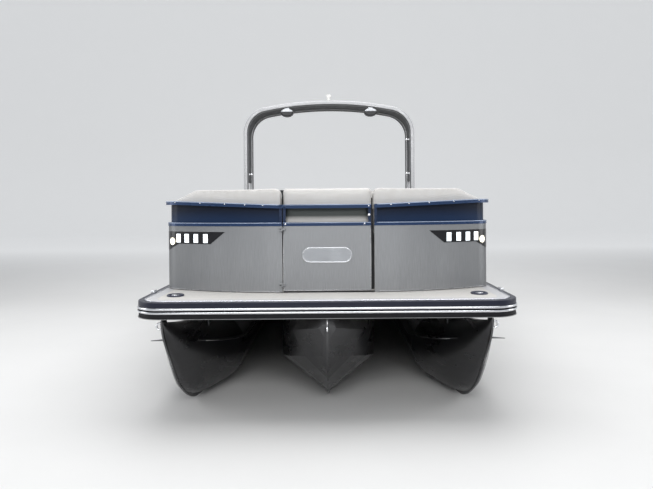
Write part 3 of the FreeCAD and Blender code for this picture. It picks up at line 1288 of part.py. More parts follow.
def build():
    """All nodes by name."""
    nodes = {}
    tube = make_outer_tube()
    nodes["pontoon_port"], nodes["pontoon_starboard"] = tube, mirrored(tube)
    nodes["pontoon_centre"] = make_centre_tube()
    nodes["cross_members"] = make_cross_members()
    nodes["deck"] = make_deck()
    nodes["deck_trim"] = make_deck_trim()
    rail = make_rub_rail()
    for name, solid in zip(("rub_rail_band", "rub_rail_bead", "rub_rail_skirt", "rub_rail_lip"), rail):
        nodes[name] = solid

    bow_axis = V(-GATE_HALF - GATE_HINGE_GAP / 2, FENCE_FRONT - HINGE_OUT, 0)
    side_end = SIDE_GATE_START + SIDE_GATE_WIDTH
    side_axis = V(FENCE_HALF + HINGE_OUT, side_end - SMALL_GATE_GAP / 2, 0)
    stern_end = STERN_GATE_MIDDLE + STERN_GATE_WIDTH / 2
    stern_axis = V(stern_end - SMALL_GATE_GAP / 2, FENCE_END + HINGE_OUT, 0)
    bow_fixed, bow_moving = hinge(bow_axis, PORT, AFT, 0)
    side_fixed, side_moving = hinge(side_axis, AFT * -1, PORT * -1, TOP_RAIL_RISE)
    stern_fixed, stern_moving = hinge(stern_axis, PORT * -1, AFT * -1, TOP_RAIL_RISE)
    fixed = {"starboard": bow_fixed, "port_bow": [], "port_aft": side_fixed + stern_fixed}

    light = light_recess()
    wall = panel_wall(RUN_FOOT).fuse(fence_feet()).cut([light, mirrored(light)])
    mid, top, infill = mid_rail(), top_rail(), infill_wall()
    posts = [post_wall().common(b) for b in post_boxes()]
    infill = infill.cut(post_boxes())
    for name, boxes in fence_runs().items():
        low = [s for s in fixed[name] if s.BoundBox.ZMax < DECK_TOP + MID_RAIL_TOP]
        high = [s for s in fixed[name] if s.BoundBox.ZMax >= DECK_TOP + MID_RAIL_TOP]
        nodes["fence_panels_" + name] = fused([in_run(wall, boxes)] + low)
        rails = [in_run(mid, boxes), in_run(top, boxes)]
        for one in posts:
            piece = in_run_if_any(one, boxes)
            if piece:
                rails.append(piece)
        nodes["fence_rails_" + name] = fused(rails + high)
        nodes["fence_infill_" + name] = loose([infill.common(b) for b in boxes])

    gates = {
        "bow_gate": (gate_box(-GATE_HALF, GATE_HALF, FENCE_FRONT - 105, FENCE_FRONT + 195), bow_moving),
        "side_gate": (gate_box(1100, 1300, SIDE_GATE_START + SMALL_GATE_GAP, side_end - SMALL_GATE_GAP), side_moving),
        "stern_gate": (gate_box(stern_end - STERN_GATE_WIDTH + SMALL_GATE_GAP, stern_end - SMALL_GATE_GAP,
                                FENCE_END - 100, FENCE_END + 60), stern_moving),
    }
    for name, (box, moving) in gates.items():
        nodes[name + "_panel"], nodes[name + "_rails"] = make_gate(box, moving)
    nodes["bow_gate_plate"] = make_plate()
    pad_front = FENCE_FRONT + TOP_RAIL_DEPTH - TOP_OVERHANG + SEAT_GAP
    nodes["bow_gate_pad"] = cushion(-GATE_HALF + 6, GATE_HALF - 6, pad_front, pad_front + GATE_PAD_THICK - 12,
                                    GATE_PAD_BOTTOM, CREST, 30.0)

    housing, lenses = make_bow_light()
    nodes["dock_light_housings"] = loose([housing, mirrored(housing)])
    nodes["dock_light_lenses"] = loose([lenses, mirrored(lenses)])

    bow_back = make_bow_back()
    side_back = make_side_back(960, LOUNGE_END)
    nodes["bow_backs"] = loose([bow_back, mirrored(bow_back), side_back, mirrored(side_back)])
    seat_front = LID_BARREL + LID_EDGE_GAP
    lid_z = DECK_TOP + BASE_HEIGHT
    lid_hinges = (SEAT_START + 130, (SEAT_START + LOUNGE_END) / 2 - 125, LOUNGE_END - 380)
    fixed_lid, moving_lid = hinge_at(lid_hinges, 0, V(LOUNGE_AISLE - seat_front, 0, lid_z))
    base = fused([make_bow_base()] + fixed_lid)
    nodes["bow_lounge_bases"] = loose([base, mirrored(base)])
    outer = FENCE_HALF - FENCE_THICK - BACK_GAP - BACK_THICK - 8
    pad = fused([seat_pad(LOUNGE_AISLE, outer, SEAT_START, LOUNGE_END)] + moving_lid)
    nodes["bow_seat_port"], nodes["bow_seat_starboard"] = pad, mirrored(pad)

    stern_back = make_stern_back()
    nodes["stern_back"] = stern_back
    lid_hinges = (425 - FENCE_HALF, -STERN_LOUNGE_X - 330)
    fixed_lid, moving_lid = hinge_at(lid_hinges, 90, V(0, STERN_LOUNGE_START - seat_front, lid_z))
    nodes["stern_lounge_base"] = fused([make_stern_base()] + fixed_lid)
    back_y = FENCE_END - FENCE_THICK - BACK_GAP - BACK_THICK - 8
    bench = seat_pad(STERN_LOUNGE_X, outer, STERN_LOUNGE_START, back_y)
    nodes["stern_seat"] = fused([bench] + moving_lid)

    nodes["helm_console"] = make_console()
    nodes["helm_screen"] = make_windscreen()
    nodes["helm_wheel"] = make_wheel()
    nodes["chair_pedestals"] = loose([make_pedestal(x, y) for x, y in zip(CHAIR_X, CHAIR_Y)])
    nodes["captain_chair"] = make_chair(CHAIR_X[0], CHAIR_Y[0])
    nodes["companion_chair"] = make_chair(CHAIR_X[1], CHAIR_Y[1])
    nodes["arch_frame"], nodes["arch_panel"] = make_arch()
    nodes["arch_pods"] = make_pods()
    nodes["anchor_light"] = make_anchor_light()

    nodes["motor_mount"] = make_motor_mount()
    nodes["motor_clamp"] = make_clamp()
    nodes["motor_swivel"] = make_swivel()
    nodes["motor_cowl"] = make_cowl()
    nodes["engine_block"] = make_engine()
    nodes["motor_leg"] = make_leg()
    nodes["propeller"] = make_propeller()
    nodes["boarding_ladder"] = make_ladder()
    nodes["ladder_bracket"] = make_ladder_bracket()
    nodes["bow_cleats"] = make_cleats()
    nodes["tow_eyes"] = make_eyes(tube)
    nodes["corner_fittings"] = make_corner_fittings()
    return nodes


def in_run_if_any(shape, boxes):
    pieces = [shape.common(b) for b in boxes]
    pieces = [p for p in pieces if p.Solids]
    return fused(pieces) if pieces else None


def main():
    os.makedirs("parts", exist_ok=True)
    nodes = build()
    whole = Part.makeCompound(list(nodes.values())).optimalBoundingBox()
    shift = V(-(whole.XMin + whole.XMax) / 2, -(whole.YMin + whole.YMax) / 2, -whole.ZMin)
    for name, shape in nodes.items():
        shape.translate(shift)
        shape.exportStep("parts/" + name + ".step")


main()
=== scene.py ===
"""A pontoon boat on a plain studio floor, seen level from ahead of its bow.

Metres, X to port, Y aft, Z up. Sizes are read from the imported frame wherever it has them.
"""
import math

import bmesh
import bpy
import numpy as np
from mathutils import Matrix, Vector
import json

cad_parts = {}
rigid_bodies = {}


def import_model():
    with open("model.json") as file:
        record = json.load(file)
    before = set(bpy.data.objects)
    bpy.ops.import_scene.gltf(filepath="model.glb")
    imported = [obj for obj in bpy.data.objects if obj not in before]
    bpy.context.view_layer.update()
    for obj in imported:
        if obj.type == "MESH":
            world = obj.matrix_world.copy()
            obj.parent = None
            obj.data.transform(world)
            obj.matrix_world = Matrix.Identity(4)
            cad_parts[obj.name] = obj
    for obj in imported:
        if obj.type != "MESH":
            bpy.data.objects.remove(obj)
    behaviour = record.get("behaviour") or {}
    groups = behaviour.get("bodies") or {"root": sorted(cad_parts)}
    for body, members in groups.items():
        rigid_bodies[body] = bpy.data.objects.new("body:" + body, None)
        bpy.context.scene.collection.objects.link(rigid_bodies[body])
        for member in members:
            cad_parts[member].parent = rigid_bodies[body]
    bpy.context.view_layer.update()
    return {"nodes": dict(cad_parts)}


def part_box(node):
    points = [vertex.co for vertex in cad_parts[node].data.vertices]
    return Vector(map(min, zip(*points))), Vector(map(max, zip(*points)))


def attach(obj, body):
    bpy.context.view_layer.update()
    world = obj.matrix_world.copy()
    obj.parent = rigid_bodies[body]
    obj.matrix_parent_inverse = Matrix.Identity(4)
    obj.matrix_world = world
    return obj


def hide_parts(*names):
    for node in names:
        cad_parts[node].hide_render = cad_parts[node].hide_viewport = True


# The photograph's frame, and the camera that matches it
PHOTO_WIDTH = 653
PHOTO_HEIGHT = 489
HORIZON_ROW = 205
VANISHING_COLUMN = 332.5
LENS = 31.3
CAMERA_AHEAD = 3.70
CAMERA_ASIDE = 0.041
CAMERA_HEIGHT = 1.472
CAMERA_ROLL = 0.45

# The backdrop's own glow and the ramp aft along which it grows, and the world as light and as seen
BACKDROP_GLOW = 0.42
GLOW_RAMP = (1.0, 11.0)
WORLD_COLOUR = (0.80, 0.82, 0.85, 1)
WORLD_LIGHT = 0.42
WORLD_SEEN = 0.92

# Padded covers: how far they shrink before they swell, how far a point may move, and their seams
SWELL_SHRINK = 0.001
SWELL_CAP = 0.007
PRESSURE = 4.0
CLOTH_FRAMES = 20
CLOTH_STIFFNESS = 12
CLOTH_QUALITY = 5
EVEN_STEPS = 2
COVER_INSET = 0.001
CREASE_DEPTH = 0.004
CREASE_WIDTH = 0.010

# The gate's pad: its hinge, the radius that it turns in, and its half widths
GATE_HINGE_X = 0.322
PAD_TURN = 0.658
PAD_FROM_HINGE = 0.0745
PAD_LATCH_SIDE = 0.3285
PAD_HINGE_SIDE = 0.3215

# Two points closer than this are one
SAME_POINT = 1e-6

for old in list(bpy.data.objects):
    bpy.data.objects.remove(old)
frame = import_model()
NODES = frame["nodes"]


# Materials

# The two ends of each ramp where a tone changes: heights above the floor, and places out from the middle
# Painted shade on the gate pad's face under the top rail: the heights where it starts and ends
PAD_SHADE_FOOT = (1.364, 1.396)
PAD_SHADE_TOP = (1.468, 1.474)
POSTS_FOOT = (1.350, 1.352)
POSTS_TOP = (1.446, 1.448)
# The height where the pods turn polished and bright, partly a painted highlight of the light from above
POD_HIGHLIGHT_SPLIT = (2.722, 2.728)
ROUND_LAMP_FROM = (1.138, 1.142)

# The height of the double bead's middle, and the point that the arch's inner faces look at
BEAD_HEIGHT = 0.7835
ARCH_CENTRE = (0.0, 0.0, 2.05)


class Finish:
    """A surface built from noise and bumps in the piece's own metres."""

    def __init__(self, name, colour, roughness, metallic=0.0, **values):
        self.name = name
        self.material = bpy.data.materials.new(name)
        self.material.use_nodes = True
        self.tree = self.material.node_tree
        self.shader = self.tree.nodes["Principled BSDF"]
        self.set("Base Color", (*colour, 1))
        self.set("Roughness", roughness)
        self.set("Metallic", metallic)
        for key, value in values.items():
            self.set(key.replace("_", " ").title().replace("Ior", "IOR"), value)
        self.place = self.add("ShaderNodeTexCoord").outputs["Object"]
        self.normal = None

    def set(self, socket, value):
        self.shader.inputs[socket].default_value = value

    def add(self, kind, **values):
        node = self.tree.nodes.new(kind)
        for key, value in values.items():
            if key in node.bl_rna.properties:
                setattr(node, key, value)
            else:
                node.inputs[key.replace("_", " ").title()].default_value = value
        return node

    def link(self, output, target):
        self.tree.links.new(output, target)

    def noise(self, scale, stretch=(1, 1, 1), detail=3.0, roughness=0.5):
        """Noise with so many cells to the metre, stretched along the axes that have a small factor."""
        mapping = self.add("ShaderNodeMapping")
        mapping.inputs["Scale"].default_value = [scale * s for s in stretch]
        self.link(self.place, mapping.inputs["Vector"])
        noise = self.add("ShaderNodeTexNoise", Scale=1.0, Detail=detail, Roughness=roughness)
        self.link(mapping.outputs["Vector"], noise.inputs["Vector"])
        return noise.outputs["Fac"]

    def bands(self, pitch, axis):
        """Stripes across one axis, a pitch apart."""
        wave = self.add("ShaderNodeTexWave", bands_direction=axis)
        wave.inputs["Scale"].default_value = math.pi / 10 / pitch
        self.link(self.place, wave.inputs["Vector"])
        return wave.outputs["Fac"]

    def along(self, axis):
        """A place's measure along one axis, in metres."""
        split = self.add("ShaderNodeSeparateXYZ")
        self.link(self.place, split.inputs["Vector"])
        return split.outputs[axis]

    def maths(self, operation, a, b=0.5):
        """One operation on two factors or numbers; some operations use only the first."""
        node = self.add("ShaderNodeMath", operation=operation)
        for socket, value in zip(node.inputs, (a, b)):
            if isinstance(value, (int, float)):
                socket.default_value = value
            else:
                self.link(value, socket)
        return node.outputs["Value"]

    def spread(self, factor, low, high, from_low=0.3, from_high=0.7):
        """A factor mapped from its usual range to low and high."""
        node = self.add("ShaderNodeMapRange")
        ends = {"From Min": from_low, "From Max": from_high, "To Min": low, "To Max": high}
        for socket, value in ends.items():
            node.inputs[socket].default_value = value
        self.link(factor, node.inputs["Value"])
        return node.outputs["Result"]

    def window(self, factor, opens, closes):
        """A factor's window: high between two ramps, each given by its two ends."""
        return self.maths("MULTIPLY", self.spread(factor, 0, 1, *opens), self.spread(factor, 1, 0, *closes))

    def tint(self, factor, colour, amount=1.0, from_low=0.3, from_high=0.7):
        """Turns the colour so far towards another where the factor is high."""
        mix = self.add("ShaderNodeMix", data_type="RGBA")
        self.link(self.spread(factor, 0, amount, from_low, from_high), mix.inputs["Factor"])
        base = self.shader.inputs["Base Color"]
        if base.is_linked:
            self.link(base.links[0].from_socket, mix.inputs["A"])
        else:
            mix.inputs["A"].default_value = base.default_value
        mix.inputs["B"].default_value = (*colour, 1)
        self.link(mix.outputs["Result"], base)
        return self

    def scuff(self, factor, low, high):
        """Roughness that runs between two values."""
        self.link(self.spread(factor, low, high), self.shader.inputs["Roughness"])
        return self

    def bump(self, height, distance, strength=1.0):
        """Relief of a real depth in metres, laid over what is there already."""
        node = self.add("ShaderNodeBump")
        node.inputs["Distance"].default_value = distance
        node.inputs["Strength"].default_value = strength
        self.link(height, node.inputs["Height"])
        if self.normal:
            self.link(self.normal, node.inputs["Normal"])
        self.normal = node.outputs["Normal"]
        self.link(self.normal, self.shader.inputs["Normal"])
        return self


def brushed(name, colour, roughness, along, metallic=1.0, grain=700, depth=0.00006, clouds=0.25):
    """Metal with fine lines along one axis and faint clouds of handling."""
    finish = Finish(name, colour, roughness, metallic)
    stretch = [1.0, 1.0, 1.0]
    stretch["XYZ".index(along)] = 0.012
    lines = finish.noise(grain, stretch, 2.0)
    finish.tint(lines, [c * 0.62 for c in colour], 0.7)
    finish.tint(finish.noise(3.1, detail=4.0), [c * 0.78 for c in colour], clouds)
    finish.scuff(finish.noise(9, stretch=stretch if along != "Z" else (1, 1, 0.2)),
                 roughness * (1 - clouds), roughness * (1 + clouds))
    return finish.bump(lines, depth)


def vinyl(name, colour):
    """Marine vinyl: a soft pebble grain, faint creases and a little grime in the low places."""
    finish = Finish(name, colour, 0.46, coat_weight=0.06, coat_roughness=0.4)
    pebbles = finish.noise(620, detail=2.0)
    creases = finish.noise(16, (1, 1, 1.4), 5.0, 0.6)
    finish.tint(creases, (colour[0] * 0.90, colour[1] * 0.87, colour[2] * 0.83), 0.45)
    finish.tint(pebbles, [c * 0.9 for c in colour], 0.35)
    finish.scuff(pebbles, 0.40, 0.58)
    return finish.bump(pebbles, 0.00025).bump(creases, 0.0022, 0.6)


def shaded_gate_vinyl(name, colour, front):
    """The gate pad's cover: pale, with painted shade in a dark band on its front face under the top rail.
    """
    finish = vinyl(name, colour)
    band = finish.window(finish.along("Z"), PAD_SHADE_FOOT, PAD_SHADE_TOP)
    near_face = finish.spread(finish.along("Y"), 1, 0, front + 0.030, front + 0.034)
    band = finish.maths("MULTIPLY", band, near_face)
    # Painted shade: the pad's face darkened in the band where the top rail shades it
    finish.tint(band, (0.022, 0.030, 0.028), 1.0, 0, 1)
    return finish


def moulded(name, colour, roughness, grain=420, depth=0.00018, **values):
    """Plastic with the fine texture of its mould and a few rubbed places."""
    finish = Finish(name, colour, roughness, **values)
    texture = finish.noise(grain, detail=2.0)
    finish.tint(finish.noise(4.5, detail=5.0), [c * 0.84 for c in colour], 0.6)
    finish.scuff(finish.noise(14, detail=4.0), roughness * 0.85, min(roughness * 1.2, 1))
    return finish.bump(texture, depth)


def gloss(name, colour, roughness=0.12, metallic=0.0, **values):
    """Paint or gelcoat: a clear skin with a trace of orange peel and dust."""
    values = {"coat_weight": 0.8, "coat_roughness": 0.05, **values}
    finish = Finish(name, colour, roughness, metallic, **values)
    dust = finish.noise(26, detail=6.0, roughness=0.65)
    finish.tint(dust, [min(c * 1.2 + 0.004, 1) for c in colour], 0.3)
    finish.scuff(dust, roughness, roughness * 1.4 + 0.02)
    return finish.bump(finish.noise(90, detail=1.0), 0.00012)


def panel_skin():
    """Anodised fence sheet: fine upright grain, with painted shade under the rail and towards the sides."""
    finish = brushed("panel_silver", (0.33, 0.337, 0.347), 0.42, "Z", 0.7, 900, 0.00004, 0.08)
    # Painted shade under the top rail
    finish.tint(finish.along("Z"), (0.25, 0.258, 0.268), 0.7, 1.05, 1.34)
    # Painted shade where the bow corners turn to the sides
    finish.tint(finish.maths("ABSOLUTE", finish.along("X")), (0.15, 0.155, 0.16), 0.8, 0.85, 1.24)
    return finish


def rail_paint():
    """Satin blue rails, a tone deeper on the posts between them."""
    finish = brushed("rail_blue", (0.015, 0.043, 0.120), 0.28, "X", 0.3, 600, 0.00003)
    posts = finish.window(finish.along("Z"), POSTS_FOOT, POSTS_TOP)
    finish.tint(posts, (0.009, 0.022, 0.060), 0.9, 0, 1)
    return finish


def infill_sheet():
    """Painted sheet between the rails with painted shade: near black under the top rail, bluer towards the
    lower one.
    """
    finish = gloss("infill_navy", (0.006, 0.010, 0.022), 0.35, coat_weight=0.05, specular_ior_level=0.12)
    # Painted shade of the overhanging top rail, lifting towards the lower rail
    finish.tint(finish.along("Z"), (0.012, 0.032, 0.085), 0.9, 1.44, 1.35)
    return finish


def arch_metal():
    """Silver tubes with painted shade on the faces turned in towards the cockpit."""
    finish = brushed("arch_pale", (0.46, 0.465, 0.475), 0.40, "X", 0.5, 600, 0.00003)
    coords = finish.add("ShaderNodeTexCoord").outputs
    towards = finish.add("ShaderNodeVectorMath", operation="SUBTRACT")
    towards.inputs[0].default_value = ARCH_CENTRE
    finish.link(coords["Object"], towards.inputs[1])
    flat = finish.add("ShaderNodeVectorMath", operation="MULTIPLY")
    flat.inputs[1].default_value = (1.0, 0.0, 1.0)
    finish.link(towards.outputs["Vector"], flat.inputs[0])
    unit = finish.add("ShaderNodeVectorMath", operation="NORMALIZE")
    finish.link(flat.outputs["Vector"], unit.inputs[0])
    facing = finish.add("ShaderNodeVectorMath", operation="DOT_PRODUCT")
    finish.link(unit.outputs["Vector"], facing.inputs[0])
    finish.link(coords["Normal"], facing.inputs[1])
    # Painted shade: faces turned in towards the arch's middle are darkened
    finish.tint(facing.outputs["Value"], (0.07, 0.072, 0.078), 0.9, 0.30, 0.55)
    return finish


def pod_can():
    """Dark glossy shells with a polished upper half, which also stands as a painted highlight of the light
    from above.
    """
    finish = gloss("pod_shell", (0.016, 0.016, 0.018), 0.35, coat_weight=0.1, specular_ior_level=0.25)
    upper = finish.spread(finish.along("Z"), 0, 1, *POD_HIGHLIGHT_SPLIT)
    # Painted highlight: the upper half turned pale and metallic
    finish.tint(upper, (0.40, 0.41, 0.43), 1.0, 0, 1)
    finish.link(upper, finish.shader.inputs["Metallic"])
    return finish


def hull_metal():
    """Mill-finish tube metal: drawn lines along it, cloudy patches and faint water marks."""
    finish = brushed("tube_aluminium", (0.115, 0.115, 0.119), 0.30, "Y", 0.95, 520, 0.00008)
    finish.tint(finish.noise(1.3, (1, 0.35, 2.2), 5.0, 0.65), (0.20, 0.20, 0.204), 0.3, 0.45, 0.8)
    finish.tint(finish.noise(7, (1, 0.2, 1), 6.0, 0.7), (0.085, 0.085, 0.088), 0.2, 0.5, 0.8)
    return finish


def deck_weave():
    """Woven marine flooring: two crossing sets of cords with lighter and darker strands."""
    finish = Finish("deck_covering", (0.64, 0.625, 0.60), 0.72)
    warp = finish.bands(0.0042, "X")
    weft = finish.bands(0.0042, "Y")
    weave = finish.maths("MULTIPLY", warp, weft)
    finish.tint(weave, (0.48, 0.465, 0.44), 0.6, 0.0, 1.0)
    finish.tint(finish.noise(180, (1, 0.1, 1)), (0.72, 0.70, 0.67), 0.5)
    finish.tint(finish.noise(2.3, detail=4.0), (0.56, 0.545, 0.52), 0.4)
    return finish.bump(weave, 0.0007)


def lamp_face():
    """Lit lenses: cold white bars, and a warmer round lamp at the outer end of each row."""
    finish = Finish("lens_white", (0.9, 0.92, 0.95), 0.2)
    across = finish.maths("ABSOLUTE", finish.along("X"))
    ramp = finish.add("ShaderNodeMix", data_type="RGBA")
    finish.link(finish.spread(across, 0, 1, *ROUND_LAMP_FROM), ramp.inputs["Factor"])
    ramp.inputs["A"].default_value = (0.86, 0.95, 1.0, 1)
    ramp.inputs["B"].default_value = (1.0, 0.90, 0.62, 1)
    finish.link(ramp.outputs["Result"], finish.shader.inputs["Emission Color"])
    flicker = finish.spread(finish.noise(160, detail=1.0), 0.9, 1.9)
    finish.link(flicker, finish.shader.inputs["Emission Strength"])
    return finish.bump(finish.noise(500), 0.0002)


def smoked():
    """Tinted acrylic that lets a little light through."""
    finish = Finish("screen_smoke", (0.030, 0.034, 0.040), 0.06, transmission_weight=0.55, ior=1.49)
    finish.scuff(finish.noise(18, detail=6.0), 0.04, 0.14)
    return finish.bump(finish.noise(60), 0.00005)


def polished(name, colour, roughness=0.09):
    """Bright plate with faint wiping marks."""
    finish = Finish(name, colour, roughness, 1.0)
    wipes = finish.noise(6, (1, 1, 0.3), 4.0, 0.5)
    finish.tint(wipes, [c * 0.9 for c in colour], 0.4)
    return finish.scuff(wipes, roughness * 0.8, roughness * 1.3)


def double_bead():
    """Two bright ridges with painted shadow in the groove between them and painted shade along their outer
    edges.
    """
    finish = polished("bead_chrome", (0.66, 0.67, 0.70), 0.16)
    height = finish.along("Z")
    middle = finish.maths("ABSOLUTE", finish.maths("SUBTRACT", height, BEAD_HEIGHT))
    # Painted shadow in the groove between the ridges
    finish.tint(middle, (0.010, 0.010, 0.014), 0.96, 0.0070, 0.0055)
    # Painted shade along the top and bottom edges
    finish.tint(middle, (0.12, 0.12, 0.13), 0.8, 0.0185, 0.0205)
    return finish


PALE = (0.62, 0.61, 0.595)
FINISHES = {f.name: f.material for f in (
    hull_metal(),
    brushed("frame_aluminium", (0.24, 0.24, 0.245), 0.42, "X", 0.95),
    deck_weave(),
    brushed("trim_pale", (0.62, 0.62, 0.635), 0.5, "X", 0.1),
    gloss("band_navy", (0.005, 0.007, 0.020), 0.35, coat_weight=0.1, specular_ior_level=0.3),
    double_bead(),
    moulded("skirt_black", (0.008, 0.008, 0.010), 0.6, specular_ior_level=0.2),
    brushed("lip_grey", (0.30, 0.305, 0.31), 0.4, "X", 0.9),
    panel_skin(),
    rail_paint(),
    infill_sheet(),
    polished("plate_chrome", (0.74, 0.76, 0.79), 0.16),
    vinyl("vinyl_pale", PALE),
    gloss("light_black", (0.006, 0.006, 0.008), 0.25, coat_weight=0.2, specular_ior_level=0.3),
    lamp_face(),
    moulded("base_plastic", (0.58, 0.57, 0.54), 0.5),
    gloss("console_pale", (0.66, 0.65, 0.62), 0.2),
    smoked(),
    moulded("wheel_black", (0.020, 0.020, 0.022), 0.45, 900, 0.00022),
    brushed("pedestal_alloy", (0.55, 0.55, 0.56), 0.28, "Z"),
    arch_metal(),
    moulded("arch_skin", (0.06, 0.062, 0.066), 0.6, 800, specular_ior_level=0.3),
    pod_can(),
    moulded("lamp_white", (0.82, 0.82, 0.80), 0.3, subsurface_weight=0.2,
            subsurface_radius=(0.01, 0.01, 0.01)),
    moulded("bracket_black", (0.016, 0.016, 0.018), 0.42, 300),
    gloss("cowl_black", (0.010, 0.010, 0.012), 0.14, 0.1),
    moulded("engine_iron", (0.06, 0.06, 0.062), 0.6, 200, 0.0006, metallic=0.6),
    gloss("leg_black", (0.014, 0.014, 0.016), 0.24),
    brushed("propeller_steel", (0.56, 0.56, 0.57), 0.18, "X"),
    brushed("ladder_steel", (0.60, 0.60, 0.61), 0.16, "Y"),
    polished("fittings_chrome", (0.76, 0.77, 0.79), 0.10),
)}
# A bright metal for the painted highlights up the stems, along the strakes and on the gate's edges, and for
# the beads at the panels' feet
KEEL_BRIGHT = brushed("keel_bright", (0.50, 0.50, 0.51), 0.26, "Y", 1.0, 420).material
# A pale blue for the painted highlight lines on the rails' edges
PAINTED_HIGHLIGHT_BLUE = brushed("rail_edge_painted_highlight", (0.40, 0.48, 0.64), 0.25, "X", 0.4, 600, 0.00002).material
BUTTON_BLUE = gloss("cleat_blue", (0.008, 0.012, 0.035), 0.3, coat_weight=0.2).material
GAUGE_GLASS = gloss("gauge_glass", (0.004, 0.005, 0.007), 0.06).material
# A pale metal for the painted highlight along the deck's edge
PAINTED_HIGHLIGHT_PALE = polished("painted_highlight_pale", (0.70, 0.71, 0.76), 0.25).material
# A black for the cowl's seam, and for the painted shade in the gaps round the gate and at the lounge bases'
# feet
SEAM_AND_SHADE_BLACK = moulded("seam_and_shade_black", (0.006, 0.006, 0.007), 0.7).material
CHROME = FINISHES["fittings_chrome"]

for node in NODES.values():
    for place in node.material_slots:
        place.material = FINISHES[place.material.name.split(".")[0]]


# Meshes

def piece(name, bm, material, body):
    """Puts a mesh in the scene as one piece that rides on a body and takes the given finish."""
    mesh = bpy.data.meshes.new(name)
    bm.to_mesh(mesh)
    bm.free()
    obj = bpy.data.objects.new(name, mesh)
    bpy.context.collection.objects.link(obj)
    obj.data.materials.append(material)
    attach(obj, body)


def ring_of(bm, centre, side, other, radius, sides):
    """Corners evenly round a centre, in the plane of two unit vectors."""
    turn = [2 * math.pi * k / sides for k in range(sides)]
    return [bm.verts.new(centre + (side * math.cos(a) + other * math.sin(a)) * radius) for a in turn]


def lathe(bm, middle, axis, profile, sides=20):
    """A turned form: profile is a run of (distance along the axis, radius)."""
    axis = Vector(axis).normalized()
    side = axis.orthogonal().normalized()
    other = axis.cross(side)
    rings = []
    for along, radius in profile:
        centre = Vector(middle) + axis * along
        if radius < SAME_POINT:
            rings.append([bm.verts.new(centre)])
        else:
            rings.append(ring_of(bm, centre, side, other, radius, sides))
    for low, high in zip(rings, rings[1:]):
        for k in range(sides):
            n = (k + 1) % sides
            if len(low) == 1 and len(high) > 1:
                bm.faces.new((low[0], high[n], high[k])).smooth = True
            elif len(high) == 1 and len(low) > 1:
                bm.faces.new((low[k], low[n], high[0])).smooth = True
            elif len(low) > 1:
                bm.faces.new((low[k], low[n], high[n], high[k])).smooth = True


def dome(bm, middle, axis, radius, height, sides=12):
    """A fastener's head: a low dome that stands on what it holds."""
    profile = [(0, radius), (height * 0.45, radius * 0.94), (height * 0.85, radius * 0.62), (height, 0)]
    lathe(bm, middle, axis, profile, sides)


def tube(bm, points, radius, sides=8, closed=False):
    """A round cord along a run of points. A point that repeats the one before it is left out."""
    points = [Vector(p) for p in points]
    points = [p for i, p in enumerate(points) if not i or (p - points[i - 1]).length > SAME_POINT]
    count = len(points)
    rings = []
    side = None
    for i, point in enumerate(points):
        before = points[i - 1] if i or closed else point
        after = points[(i + 1) % count] if i + 1 < count or closed else point
        axis = (after - before).normalized()
        side = (side - axis * side.dot(axis)).normalized() if side else axis.orthogonal().normalized()
        rings.append(ring_of(bm, point, side, axis.cross(side), radius, sides))
    pairs = list(zip(rings, rings[1:])) + ([(rings[-1], rings[0])] if closed else [])
    for low, high in pairs:
        for k in range(sides):
            n = (k + 1) % sides
            bm.faces.new((low[k], low[n], high[n], high[k])).smooth = True
    if not closed:
        bm.faces.new(rings[0][::-1])
        bm.faces.new(rings[-1])


# Cushions

def points_of(obj):
    """A mesh's corners as rows of x, y, z."""
    values = np.empty(len(obj.data.vertices) * 3)
    obj.data.vertices.foreach_get("co", values)
    return values.reshape(-1, 3)


def put_points(obj, values):
    obj.data.vertices.foreach_set("co", values.ravel())
    obj.data.update()


def normals_of(obj):
    values = np.empty(len(obj.data.vertices) * 3)
    obj.data.vertex_normals.foreach_get("vector", values)
    return values.reshape(-1, 3)


def remeshed(obj, voxel):
    """Rebuilds a solid's skin from even quads."""
    modifier = obj.modifiers.new("voxels", "REMESH")
    modifier.mode = "VOXEL"
    modifier.voxel_size = voxel
    bake(obj)


def bake(obj):
    """Applies what the modifiers make, so that none is left on the piece."""
    shape = obj.evaluated_get(bpy.context.evaluated_depsgraph_get())
    mesh = bpy.data.meshes.new_from_object(shape)
    old, obj.data = obj.data, mesh
    obj.modifiers.clear()
    bpy.data.meshes.remove(old)


def swollen(obj):
    """Blows the closed cover up a little against its own cloth, and holds each point near its start."""
    start = points_of(obj)
    cloth = obj.modifiers.new("cover", "CLOTH")
    settings = cloth.settings
    settings.use_pressure = True
    settings.uniform_pressure_force = PRESSURE
    settings.effector_weights.gravity = 0
    settings.quality = CLOTH_QUALITY
    settings.tension_stiffness = CLOTH_STIFFNESS
    settings.compression_stiffness = CLOTH_STIFFNESS
    cloth.point_cache.frame_start = 1
    cloth.point_cache.frame_end = CLOTH_FRAMES
    for step in range(1, CLOTH_FRAMES + 1):
        bpy.context.scene.frame_set(step)
    moved = points_of(obj.evaluated_get(bpy.context.evaluated_depsgraph_get())) - start
    length = np.maximum(np.linalg.norm(moved, axis=1, keepdims=True), 1e-9)
    obj.modifiers.clear()
    bpy.context.scene.frame_set(1)
    put_points(obj, start + moved * np.minimum(1, SWELL_CAP / length))


def sewn(values, normals, channels):
    """Sinks rows of seams into a cover: channels are pairs of an axis and the places along it."""
    for axis, places in channels:
        away = np.min([np.abs(values[:, axis] - p) for p in places], axis=0)
        across = 1 - np.abs(normals[:, axis])
        values = values - normals * (CREASE_DEPTH * np.exp(-(away / CREASE_WIDTH) ** 2) * across)[:, None]
    return values


